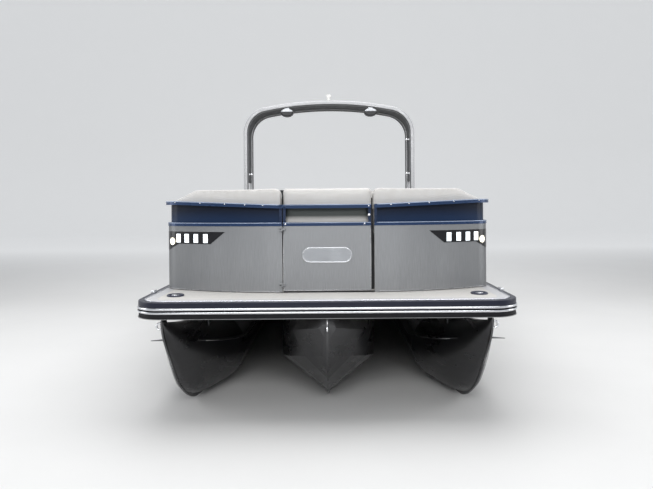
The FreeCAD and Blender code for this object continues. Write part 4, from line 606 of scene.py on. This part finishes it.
def clear_of_posts(values, low, high):
    """Keeps the gate's pad as wide as its turn about the hinge allows."""
    back = values[:, 1] - low[1] + PAD_FROM_HINGE
    latch = np.minimum(np.sqrt(PAD_TURN ** 2 - back ** 2) - GATE_HINGE_X, PAD_LATCH_SIDE)
    values[:, 0] *= np.where(values[:, 0] > 0, latch, PAD_HINGE_SIDE) / (high[0] - COVER_INSET)


def stuffed(node, voxel=0.014, channels=(), body="hull", swing=False, cover="vinyl_pale"):
    """A padded cover that fills the room of a plain CAD solid; swing is True for the gate's pad."""
    low, high = (np.array(v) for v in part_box(node))
    obj = bpy.data.objects.new(node + "_cover", NODES[node].data.copy())
    bpy.context.collection.objects.link(obj)
    remeshed(obj, voxel)
    put_points(obj, points_of(obj) - normals_of(obj) * SWELL_SHRINK)
    swollen(obj)
    soften(obj)
    subdivision = obj.modifiers.new("finer", "SUBSURF")
    subdivision.levels = 1
    bake(obj)
    values = points_of(obj)
    least, most = values.min(0), values.max(0)
    values = low + COVER_INSET + (values - least) / (most - least) * (high - low - 2 * COVER_INSET)
    values = sewn(values, normals_of(obj), channels)
    if swing:
        clear_of_posts(values, low, high)
    put_points(obj, values)
    for face in obj.data.polygons:
        face.use_smooth = True
    obj.data.materials.clear()
    obj.data.materials.append(COVER_FINISHES[cover])
    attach(obj, body)
    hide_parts(node)


def soften(obj):
    """Evens out the stair marks that voxels leave."""
    modifier = obj.modifiers.new("even", "SMOOTH")
    modifier.factor = 0.5
    modifier.iterations = EVEN_STEPS
    bake(obj)


def box_of(node):
    """A node's low and high corners as vectors."""
    low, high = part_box(node)
    return Vector(low), Vector(high)


COVER_FINISHES = {
    "vinyl_pale": FINISHES["vinyl_pale"],
    "vinyl_gate_painted_shade": shaded_gate_vinyl("vinyl_gate_painted_shade", PALE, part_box("bow_gate_pad")[0][1]).material,
}
COVERS = {
    "bow_gate_pad": dict(body="bow_gate", voxel=0.009, swing=True, cover="vinyl_gate_painted_shade"),
    "bow_backs": dict(channels=[(1, np.arange(-3.30, -1.95, 0.45))]),
    "bow_seat_port": dict(body="port_seat", channels=[(1, np.arange(-3.20, -2.0, 0.30))]),
    "bow_seat_starboard": dict(body="starboard_seat", channels=[(1, np.arange(-3.20, -2.0, 0.30))]),
    "stern_back": dict(channels=[(0, np.arange(-0.05, 1.0, 0.35))]),
    "stern_seat": dict(body="stern_bench", channels=[(0, np.arange(-0.13, 1.0, 0.29))]),
    "captain_chair": dict(body="captain_seat", voxel=0.010),
    "companion_chair": dict(body="companion_seat", voxel=0.010),
}
for node, facts in COVERS.items():
    stuffed(node, **facts)


# Small fittings, placed in metres from the rub rail's front edge and from the deck

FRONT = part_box("rub_rail_bead")[0][1]
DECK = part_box("deck")[1][2]
DECK_HEIGHT = 0.840
BEAM_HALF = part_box("rub_rail_bead")[1][0]
FENCE_HALF = -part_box("fence_panels_starboard")[0][0]

# The fence from above, its gate's half widths and its rails' heights over the deck
FENCE_FRONT = 0.405
FENCE_END = 6.85
BOW_FLAT = 0.33
BOW_ARC = 1.75
BOW_CORNER = 0.16
STERN_CORNER = 0.10
GATE_HALF = 0.3185
GATE_LATCH = 0.3425
GATE_HINGE = 0.3255
RAIL_OUT = 0.020
TOP_RAIL = 0.638
MID_RAIL = 0.508
RISE_SPAN = (0.345, 1.120)
RISE = 0.032

# The rub rail's groove and its screws' pitch, the blank plate on the gate, the dash, the wheel, the motor
BEAD_MIDDLE = -0.0568
PITCH = 0.335
PLATE_MIDDLE = 0.272
PLATE_STRAIGHT = 0.124
PLATE_RADIUS = 0.0515
DASH_RUN = 0.190
DASH_DROP = 0.230
WHEEL_LEAN = 28
MOTOR_TILT = 55


def at(x, y, z):
    """A place from x, the way aft of the rub rail's front and the height above the deck."""
    return Vector((x, FRONT + y, DECK + z))


def slab(bm, low, high):
    """A plain box between two corners."""
    low, high = Vector(low), Vector(high)
    for vert in bmesh.ops.create_cube(bm, size=1)["verts"]:
        vert.co = Vector([low[i] + (vert.co[i] + 0.5) * (high[i] - low[i]) for i in range(3)])


def fence_path(out=0.0):
    """The fence's port half from above, gate to stern, as (x, y, outward x, outward y)."""
    half, r, s = FENCE_HALF, BOW_CORNER, STERN_CORNER
    long_y = FENCE_FRONT + BOW_ARC
    corner_y = long_y - math.sqrt((BOW_ARC - r) ** 2 - (half - r - BOW_FLAT) ** 2)
    turn = math.atan2(corner_y - long_y, half - r - BOW_FLAT)
    rows = [(x, FENCE_FRONT, 0, -1) for x in np.arange(0, BOW_FLAT, 0.03)]
    for middle, radius, first, last, count in (
            ((BOW_FLAT, long_y), BOW_ARC, -math.pi / 2, turn, 30),
            ((half - r, corner_y), r, turn, 0, 12), ((half - s, FENCE_END - s), s, 0, math.pi / 2, 8)):
        if first == 0:
            rows += [(half, y, 1, 0) for y in np.arange(corner_y + 0.06, FENCE_END - s - 0.02, 0.06)]
        for a in np.linspace(first, last, count):
            nx, ny = math.cos(a), math.sin(a)
            rows.append((middle[0] + radius * nx, middle[1] + radius * ny, nx, ny))
    return [(x + nx * out, y + ny * out, nx, ny) for x, y, nx, ny in rows]


def rise(x):
    """How far the top rail has climbed at a half width."""
    return float(np.interp(abs(x), RISE_SPAN, (0, RISE)))


def side_gate_span():
    """Where the side gate's opening starts and ends along the fence."""
    low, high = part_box("side_gate_panel")
    return low[1] - FRONT - 0.004, high[1] - FRONT + 0.004


def fence_lines(side, out, height, climbs, first):
    """Runs along one side's fence, broken at the side gate on the port side."""
    gate = side_gate_span()
    runs = [[], []]
    for x, y, nx, ny in fence_path(out):
        if x < first or (side > 0 and gate[0] < y < gate[1] and x > 1):
            continue
        behind = side > 0 and y > gate[1]
        runs[1 if behind else 0].append(at(side * x, y, height + (rise(x) if climbs else 0)))
    return [run for run in runs if len(run) > 1]


# Each painted highlight line on a rail's arris: how far out it lies, its height, whether it climbs with the
# top rail, its radius
RAIL_HIGHLIGHT_LINES = ((RAIL_OUT - 0.002, TOP_RAIL - 0.0035, True, 0.0038),
                (0.0022, MID_RAIL - 0.0035, False, 0.0036))


def rail_highlight_lines():
    """Painted highlights: pale lines along the outer edges of the top and middle rails."""
    hull = bmesh.new()
    for side, first in ((1, GATE_LATCH), (-1, GATE_HINGE)):
        for out, height, climbs, radius in RAIL_HIGHLIGHT_LINES:
            for run in fence_lines(side, out, height, climbs, first):
                tube(hull, run, radius, 6)
    piece("rail_edges", hull, PAINTED_HIGHLIGHT_BLUE, "hull")
    gate = bmesh.new()
    edge = GATE_HALF - 0.003
    for out, height, climbs, radius in RAIL_HIGHLIGHT_LINES:
        tube(gate, [at(x, FENCE_FRONT - out, height) for x in (-edge, 0, edge)], radius, 6)
    piece("gate_rail_edges", gate, PAINTED_HIGHLIGHT_BLUE, "bow_gate")
    low, high = side_gate_span()
    leaf = bmesh.new()
    places = (low + 0.012, (low + high) / 2, high - 0.012)
    for out, height, climbs, radius in RAIL_HIGHLIGHT_LINES:
        tube(leaf, [at(FENCE_HALF + out, y, height + RISE * climbs) for y in places], radius, 6)
    piece("side_gate_rail_edges", leaf, PAINTED_HIGHLIGHT_BLUE, "side_gate")


def rail_screws():
    """Screws along the top rail's outer face, placed by their way along it from the middle of the bow."""
    bm = bmesh.new()
    gate = side_gate_span()
    path = fence_path(RAIL_OUT)
    lengths = np.cumsum([0] + [math.dist(a[:2], b[:2]) for a, b in zip(path, path[1:])])
    places = [0.463, 0.595, 0.750, 0.950, 1.180, 1.335] + list(np.arange(1.62, lengths[-1] - 0.1, 0.31))
    for side in (1, -1):
        for place in places:
            x, y, nx, ny = (float(np.interp(place, lengths, [row[i] for row in path])) for i in range(4))
            if side > 0 and gate[0] - 0.03 < y < gate[1] + 0.03:
                continue
            dome(bm, at(side * x, y, TOP_RAIL - 0.010 + rise(x)), (side * nx, ny, 0), 0.0046, 0.0024, 10)
    piece("rail_screws", bm, CHROME, "hull")


def gate_bolts():
    """Bolts in the gate's rails, and the latch's knob."""
    bm = bmesh.new()
    ahead = (0, -1, 0)
    for x in (-0.302, 0.272):
        dome(bm, at(x, FENCE_FRONT - 0.004, 0.496), ahead, 0.0068, 0.004, 14)
    for x in (-0.302, 0.302):
        dome(bm, at(x, FENCE_FRONT - RAIL_OUT, 0.624), ahead, 0.005, 0.0026, 12)
    knob = [(0, 0.010), (0.006, 0.010), (0.008, 0.006), (0.014, 0.006), (0.018, 0.010), (0.022, 0.0085),
            (0.024, 0)]
    lathe(bm, at(0.303, FENCE_FRONT - 0.002, 0.560), ahead, knob, 18)
    piece("gate_bolts", bm, CHROME, "bow_gate")


def gate_gap_shade():
    """Painted shade: dark strips that fill the gaps beside and below the gate, and a dark flap on the
    gate's latch edge.
    """
    seals = bmesh.new()
    foot, thick = 0.016, 0.003
    back = FENCE_FRONT + 0.165
    for side, post in ((1, GATE_LATCH), (-1, GATE_HINGE)):
        near = post + 0.001
        x0, x1 = sorted((side * near, side * (near + thick)))
        slab(seals, at(x0, FENCE_FRONT + 0.030, foot), at(x1, back, 0.420))
        x0, x1 = sorted((side * 0.3145, side * 0.3500))
        slab(seals, at(x0, back, foot), at(x1, back + thick, 0.684))
    slab(seals, at(-GATE_HINGE + 0.006, FENCE_FRONT + 0.001, 0.0004),
         at(GATE_LATCH - 0.001, FENCE_FRONT + 0.032, 0.0072))
    piece("gate_gap_painted_shade", seals, SEAM_AND_SHADE_BLACK, "hull")
    flap = bmesh.new()
    slab(flap, at(GATE_HALF - 0.004, FENCE_FRONT + 0.029, 0.018),
         at(GATE_LATCH - 0.0055, FENCE_FRONT + 0.031, 0.600))
    piece("gate_edge_painted_shade", flap, SEAM_AND_SHADE_BLACK, "bow_gate")


def rub_rail_screws():
    """Screws in the groove of the double bead, a third of a metre apart, and bolts under the lip."""
    bm = bmesh.new()
    groove = 0.0135
    for k in range(-3, 4):
        dome(bm, at(k * PITCH, groove, BEAD_MIDDLE), (0, -1, 0), 0.0034, 0.0026, 10)
    for side in (1, -1):
        for y in np.arange(0.42, 7.3, PITCH):
            dome(bm, at(side * (BEAM_HALF - groove), y, BEAD_MIDDLE), (side, 0, 0), 0.0034, 0.0026, 10)
        for x in (0.30, 0.69, 1.02):
            dome(bm, at(side * x, 0.030, -0.111), (0, 0, -1), 0.006, 0.004, 10)
    piece("rub_rail_screws", bm, CHROME, "hull")


def cleat_rings():
    """A dark ring and a bright cap at each flush cleat."""
    chrome, blue = bmesh.new(), bmesh.new()
    for side in (1, -1):
        middle = at(side * (BEAM_HALF - 0.225), 0.300, 0)
        radius = 0.0520
        ring = [middle + Vector((math.cos(a) * radius, math.sin(a) * radius, 0.0035))
                for a in np.linspace(0, 2 * math.pi, 40, endpoint=False)]
        tube(blue, ring, 0.0085, 12, True)
        cap = [(-0.002, 0.0300), (0.006, 0.0295), (0.010, 0.0240), (0.0115, 0)]
        lathe(chrome, middle, (0, 0, 1), cap, 32)
    piece("cleat_caps", chrome, CHROME, "hull")
    piece("cleat_rings", blue, BUTTON_BLUE, "hull")


# The outer stems from the side, as pairs: place aft of the rub rail's front, depth below the deck
STEM = ((0.018, 0.121), (0.040, 0.224), (0.122, 0.357), (0.238, 0.526), (0.338, 0.648), (0.467, 0.747),
        (0.607, 0.812), (0.800, 0.832))
# The middle stem from the side, as pairs: place, share of its height above its keel
MIDDLE_STEM = ((0.030, 0.89), (0.075, 0.77), (0.180, 0.54), (0.250, 0.415), (0.330, 0.30), (0.500, 0.115),
               (0.700, 0.0))
MIDDLE_STEM_FOOT = -0.821
MIDDLE_STEM_TALL = 0.692
NOSE_START = 0.018
NOSE_END = 1.0
NOSE_LENGTH = NOSE_END - NOSE_START
TUBE_X = BEAM_HALF - 0.310
TUBE_RADIUS = 0.295
TUBE_HEIGHT = 0.309
STEM_LEAN = 0.104
STRIP_RADIUS = 0.0050
STRAKE_FOOT = 0.400
STRAKE_CLIMB = 0.105


def stem_painted_highlights():
    """Bright strips up the three stems: painted highlights along their edges."""
    bm = bmesh.new()
    turn = math.atan2(STEM_LEAN, NOSE_LENGTH)
    for side in (1, -1):
        run = []
        for y, drop in STEM:
            back = NOSE_END - y
            x = TUBE_X + back * math.sin(turn)
            run.append(at(side * x, NOSE_END - back * math.cos(turn) + 0.0045, -drop + 0.0035))
        tube(bm, smooth_run(run, 5), STRIP_RADIUS, 8)
    tube(bm, [at(0, y + 0.004, MIDDLE_STEM_FOOT + MIDDLE_STEM_TALL * share) for y, share in MIDDLE_STEM],
         STRIP_RADIUS, 8)
    tube(bm, [at(0, 0.0335, -0.120), at(0, 0.0340, -0.200)], STRIP_RADIUS, 8)
    piece("stem_painted_highlights", bm, KEEL_BRIGHT, "hull")


def smooth_run(points, parts):
    """More points along a run, on a curve through the given ones."""
    found = []
    for i in range(len(points) - 1):
        a, b, c, d = (points[max(0, min(len(points) - 1, j))] for j in (i - 1, i, i + 1, i + 2))
        for k in range(parts):
            t = k / parts
            found.append(0.5 * (2 * b + (c - a) * t + (2 * a - 5 * b + 4 * c - d) * t * t
                                + (3 * b - a - 3 * c + d) * t ** 3))
    return found + [points[-1]]


def strake_painted_highlights():
    """A painted highlight along the outer edge of each lifting strake."""
    bm = bmesh.new()
    for side in (1, -1):
        for flank in (1, -1):
            run = []
            for y in (0.45, 0.62, 0.80, 1.0, 3.0, 7.16):
                share = min((y - 0.38) / 0.62, 1.0)
                z = STRAKE_FOOT + STRAKE_CLIMB * (1 - share) ** 1.6
                nose = min((y - NOSE_START) / NOSE_LENGTH, 1.0)
                half = 0.0065 + 0.2885 * nose
                bulge = half * math.sqrt(1 - ((z - TUBE_HEIGHT) / TUBE_RADIUS) ** 2)
                skin = TUBE_X + STEM_LEAN * (1 - nose) + flank * bulge
                tip = BEAM_HALF - 0.002 if flank > 0 else skin - 0.045
                run.append(at(side * tip, y, z + 0.0025 - DECK_HEIGHT))
            tube(bm, run, 0.0024, 6)
    piece("strake_painted_highlights", bm, KEEL_BRIGHT, "hull")


def arch_knobs():
    """Bright knobs on the inner faces of the arch's front legs."""
    bm = bmesh.new()
    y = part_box("arch_frame")[0][1] + 0.057 - FRONT
    inner = 1.076
    knob = [(-0.002, 0.015), (0.004, 0.015), (0.006, 0.008), (0.016, 0.008), (0.020, 0.017), (0.032, 0.021),
            (0.044, 0.017), (0.050, 0)]
    for side, z in ((1, 1.05), (-1, 1.05), (1, 1.506)):
        lathe(bm, at(side * inner, y, z), (-side, 0, 0), knob, 20)
    piece("arch_knobs", bm, CHROME, "hull")


def brick(bm, middle, across, up, size):
    """A box about a point: its sides run along across, up and their normal."""
    across, up = Vector(across).normalized(), Vector(up).normalized()
    axes = (across, up, across.cross(up))
    for vert in bmesh.ops.create_cube(bm, size=1)["verts"]:
        vert.co = Vector(middle) + sum((axes[i] * vert.co[i] * size[i] for i in range(3)), Vector())


def helm():
    """Gauges, a chart display, switches and the throttle on the sloping dash."""
    low, high = box_of("helm_console")
    middle = (low.x + high.x) / 2
    down = Vector((0, DASH_RUN, -DASH_DROP)).normalized()
    out = Vector((0, DASH_DROP, DASH_RUN)).normalized()
    across, up = Vector((1, 0, 0)), (0, 0, 1)

    def dash(x, along):
        return Vector((middle + x, high.y - DASH_RUN, high.z)) + down * along

    rims, glass, black = bmesh.new(), bmesh.new(), bmesh.new()
    rim = [(-0.004, 0.040), (0.006, 0.040), (0.008, 0.037), (0.004, 0.034)]
    lens = [(0.0035, 0.0345), (0.0045, 0.0345), (0.005, 0)]
    for x in (-0.100, 0.0, 0.100):
        lathe(rims, dash(x, 0.060), out, rim, 28)
        lathe(glass, dash(x, 0.060), out, lens, 28)
    brick(glass, dash(-0.225, 0.085) + out * 0.004, across, down, (0.130, 0.095, 0.008))
    for k in range(6):
        brick(black, dash(0.150 + 0.026 * k, 0.220) + out * 0.004, across, down, (0.016, 0.026, 0.010))
    throttle = dash(0.245, 0.090)
    lathe(black, throttle, out, [(-0.004, 0.034), (0.014, 0.034), (0.020, 0.026), (0.020, 0)], 24)
    root = throttle + out * 0.015
    tip = root + Vector((0, 0.015, 0.105))
    tube(rims, [root, root + Vector((0, 0.004, 0.05)), tip], 0.0060, 10)
    grip = [(0, 0.008), (0.006, 0.018), (0.026, 0.020), (0.036, 0.012), (0.040, 0)]
    lathe(black, tip - Vector((0, 0, 0.012)), up, grip, 18)
    piece("dash_rims", rims, CHROME, "hull")
    piece("dash_glass", glass, GAUGE_GLASS, "hull")
    piece("dash_controls", black, FINISHES["wheel_black"], "hull")


def wheel_cap():
    """The bright cap on the wheel's hub."""
    low, high = box_of("helm_wheel")
    hub = Vector(((low.x + high.x) / 2, at(0, 4.49, 0).y, at(0, 0, 0.668).z))
    lean = math.radians(WHEEL_LEAN)
    cap = bmesh.new()
    profile = [(0.002, 0.030), (0.007, 0.029), (0.010, 0.020), (0.011, 0)]
    lathe(cap, hub, (0, math.cos(lean), math.sin(lean)), profile, 28)
    piece("wheel_cap", cap, CHROME, "steering_wheel")


def cowl_seam():
    """The dark seam round the tilted cowl where its two halves meet."""
    tilt = math.radians(MOTOR_TILT)
    axis = at(0, 7.66, 0.742 - DECK_HEIGHT)
    half, front, aft, up, corner = 0.2845, -0.0395, 0.5995, 0.488, 0.130
    loop = []
    for x, a, first in ((half - corner, front + corner, -90), (half - corner, aft - corner, 0),
                        (-half + corner, aft - corner, 90), (-half + corner, front + corner, 180)):
        for k in range(7):
            turn = math.radians(first + 15 * k)
            px, pa = x + corner * math.cos(turn), a + corner * math.sin(turn)
            loop.append(Vector((px, axis.y + pa * math.cos(tilt) - up * math.sin(tilt),
                                axis.z + pa * math.sin(tilt) + up * math.cos(tilt))))
    seam = bmesh.new()
    tube(seam, loop, 0.0045, 8, True)
    piece("cowl_seam", seam, SEAM_AND_SHADE_BLACK, "motor")


def ladder_treads():
    """Dark grip pads on the folded ladder's four steps."""
    low, high = box_of("boarding_ladder")
    bm = bmesh.new()
    middle, level = (low.x + high.x) / 2, (low.z + high.z) / 2
    half, steps, run = 0.165, 4, 0.49
    for k in range(steps):
        y = low.y + 0.016 + k * run / (steps - 1)
        slab(bm, (middle - half, y - 0.008, level + 0.0085), (middle + half, y + 0.044, level + 0.0105))
    piece("ladder_treads", bm, FINISHES["wheel_black"], "ladder")


def side_joints():
    """Cover strips over the joints of the side panels, each with a row of rivets."""
    strips, rivets = bmesh.new(), bmesh.new()
    gate = side_gate_span()
    half = 0.011
    for side in (1, -1):
        for y in (1.55, 2.60, 3.62, 4.45, 5.30, 6.10):
            if side > 0 and gate[0] - 0.05 < y < gate[1] + 0.05:
                continue
            x0, x1 = sorted((side * (FENCE_HALF - 0.001), side * (FENCE_HALF + 0.0015)))
            slab(strips, at(x0, y - half, 0.020), at(x1, y + half, 0.478))
            for z in np.arange(0.045, 0.47, 0.080):
                dome(rivets, at(side * (FENCE_HALF + 0.0013), y, z), (side, 0, 0), 0.0038, 0.0022, 8)
    piece("panel_joints", strips, FINISHES["panel_silver"], "hull")
    piece("panel_rivets", rivets, CHROME, "hull")


def foot_beads():
    """Bright beads along the feet of the panels."""
    bm = bmesh.new()
    for side, first in ((1, GATE_LATCH + 0.002), (-1, GATE_HINGE + 0.002)):
        for run in fence_lines(side, 0.0004, 0.0085, False, first):
            tube(bm, run, 0.0022, 6)
    piece("panel_foot_beads", bm, KEEL_BRIGHT, "hull")


def gate_beads():
    """A painted highlight bead down the gate's edges and along its foot, and a bead round the blank plate.
    """
    low, high, edge = 0.0165, 0.478, GATE_HALF - 0.003
    front = FENCE_FRONT - 0.0002
    gate = bmesh.new()
    corners = ((-edge, high), (-edge, low), (edge, low), (edge, high))
    tube(gate, [at(x, front, z) for x, z in corners], 0.0020, 6)
    piece("gate_edge_painted_highlights", gate, KEEL_BRIGHT, "bow_gate")
    loop = []
    for side, first in ((1, -90), (-1, 90)):
        for step in range(0, 181, 12):
            turn = math.radians(first + step)
            loop.append(at(side * PLATE_STRAIGHT + PLATE_RADIUS * math.cos(turn), FENCE_FRONT - 0.0062,
                           PLATE_MIDDLE + PLATE_RADIUS * math.sin(turn)))
    rim = bmesh.new()
    tube(rim, loop, 0.0030, 8, True)
    piece("gate_plate_rim", rim, CHROME, "bow_gate")


def deck_edge_highlight():
    """A pale bead where the deck's trim meets the rub rail: a painted highlight along that edge."""
    half, front, aft, radius = BEAM_HALF - 0.051, 0.051, 7.45, 0.149
    run = []
    for degrees in range(-90, 1, 9):
        turn = math.radians(degrees)
        run.append((half - radius + radius * math.cos(turn), front + radius + radius * math.sin(turn)))
    run.append((half, aft))
    level = 0.0015
    bm = bmesh.new()
    tube(bm, [at(-x, y, level) for x, y in run[::-1]] + [at(x, y, level) for x, y in run], 0.0034, 6)
    piece("deck_edge_painted_highlight", bm, PAINTED_HIGHLIGHT_PALE, "hull")


def lounge_foot_shade():
    """Painted shade: dark strips along the feet of the lounge bases, standing for recessed toe kicks."""
    bm = bmesh.new()
    foot, top = 0.003, 0.048
    for side in (1, -1):
        x0, x1 = sorted((side * 0.4285, side * 0.4310))
        slab(bm, at(x0, 0.600, foot), at(x1, 2.440, top))
    slab(bm, at(-0.420, 5.9785, foot), at(1.190, 5.9810, top))
    piece("lounge_foot_painted_shade", bm, SEAM_AND_SHADE_BLACK, "hull")


rail_highlight_lines()
rail_screws()
gate_bolts()
gate_gap_shade()
helm()
wheel_cap()
cowl_seam()
ladder_treads()
side_joints()
lounge_foot_shade()
foot_beads()
gate_beads()
deck_edge_highlight()
rub_rail_screws()
cleat_rings()
stem_painted_highlights()
strake_painted_highlights()
arch_knobs()


# Stage, light and camera

def stage():
    """A pale floor that turns up into a backdrop behind the boat."""
    bm = bmesh.new()
    half, near, far, radius, top = 30.0, -26.0, 24.0, 5.0, 16.0
    run = [(near, 0.0), (far - radius, 0.0)]
    run += [(far - radius + radius * math.sin(a), radius - radius * math.cos(a))
            for a in (math.pi / 2 * k / 12 for k in range(1, 13))]
    run.append((far, top))
    rows = [[bm.verts.new((x, y, z)) for x in (-half, half)] for y, z in run]
    for near_row, far_row in zip(rows, rows[1:]):
        bm.faces.new((near_row[0], near_row[1], far_row[1], far_row[0])).smooth = True
    mesh = bpy.data.meshes.new("studio_floor")
    bm.to_mesh(mesh)
    bm.free()
    floor = bpy.data.objects.new("studio_floor", mesh)
    bpy.context.collection.objects.link(floor)
    finish = Finish("studio_paper", (0.74, 0.74, 0.735), 0.85)
    finish.tint(finish.noise(1.2, detail=4.0), (0.71, 0.71, 0.705), 0.6)
    finish.bump(finish.noise(220), 0.0002)
    path = finish.add("ShaderNodeLightPath").outputs
    seen = finish.maths("MAXIMUM", path["Is Camera Ray"], path["Is Glossy Ray"])
    seen = finish.maths("MAXIMUM", seen, path["Is Transmission Ray"])
    far_off = finish.spread(finish.along("Y"), 0, BACKDROP_GLOW, *GLOW_RAMP)
    finish.link(finish.maths("MULTIPLY", seen, far_off), finish.shader.inputs["Emission Strength"])
    finish.set("Emission Color", (0.96, 0.98, 1.0, 1))
    floor.data.materials.append(finish.material)


# Each lamp: its name, place, the point it faces, width and height, and power
LAMPS = (
    ("overhead", (0, -1.5, 6.5), (0, -1.0, 0.8), (7.0, 9.0), 480),
    ("bow_fill", (0.0, -11.0, 4.2), (0, -4.0, 1.0), (6.0, 2.5), 290),
    ("port_side", (7.5, -4.0, 3.2), (0, -2.0, 1.0), (3.0, 5.0), 150),
    ("starboard_side", (-7.5, -4.0, 3.2), (0, -2.0, 1.0), (3.0, 5.0), 150),
)


def softbox(name, place, aim, size, power):
    """A soft rectangular lamp."""
    data = bpy.data.lights.new(name, "AREA")
    data.shape = "RECTANGLE"
    data.size, data.size_y = size
    data.energy = power
    lamp = bpy.data.objects.new(name, data)
    bpy.context.collection.objects.link(lamp)
    lamp.location = place
    lamp.rotation_euler = (Vector(aim) - Vector(place)).to_track_quat("-Z", "Y").to_euler()


def lights():
    """The lamps, and a pale world that is bright only where it is seen or mirrored."""
    for lamp in LAMPS:
        softbox(*lamp)
    world = bpy.data.worlds.new("studio")
    world.use_nodes = True
    tree = world.node_tree
    background = tree.nodes["Background"]
    background.inputs["Color"].default_value = WORLD_COLOUR
    path = tree.nodes.new("ShaderNodeLightPath").outputs
    seen = path["Is Camera Ray"]
    for kind in ("Is Glossy Ray", "Is Transmission Ray"):
        either = tree.nodes.new("ShaderNodeMath")
        either.operation = "MAXIMUM"
        tree.links.new(seen, either.inputs[0])
        tree.links.new(path[kind], either.inputs[1])
        seen = either.outputs["Value"]
    strength = tree.nodes.new("ShaderNodeMapRange")
    strength.inputs["To Min"].default_value = WORLD_LIGHT
    strength.inputs["To Max"].default_value = WORLD_SEEN
    tree.links.new(seen, strength.inputs["Value"])
    tree.links.new(strength.outputs["Result"], background.inputs["Strength"])
    bpy.context.scene.world = world


def camera():
    """A level camera whose shifted lens puts the horizon at its row in the photograph."""
    data = bpy.data.cameras.new("camera")
    data.sensor_width = 36
    data.lens = LENS
    data.shift_x = (PHOTO_WIDTH / 2 - VANISHING_COLUMN) / PHOTO_WIDTH
    data.shift_y = (HORIZON_ROW - PHOTO_HEIGHT / 2) / PHOTO_WIDTH
    view = bpy.data.objects.new("camera", data)
    bpy.context.collection.objects.link(view)
    view.location = (CAMERA_ASIDE, FRONT - CAMERA_AHEAD, CAMERA_HEIGHT)
    view.rotation_euler = (math.pi / 2, math.radians(CAMERA_ROLL), 0)
    bpy.context.scene.camera = view
    bpy.context.scene.view_settings.view_transform = "Standard"


stage()
lights()
camera()
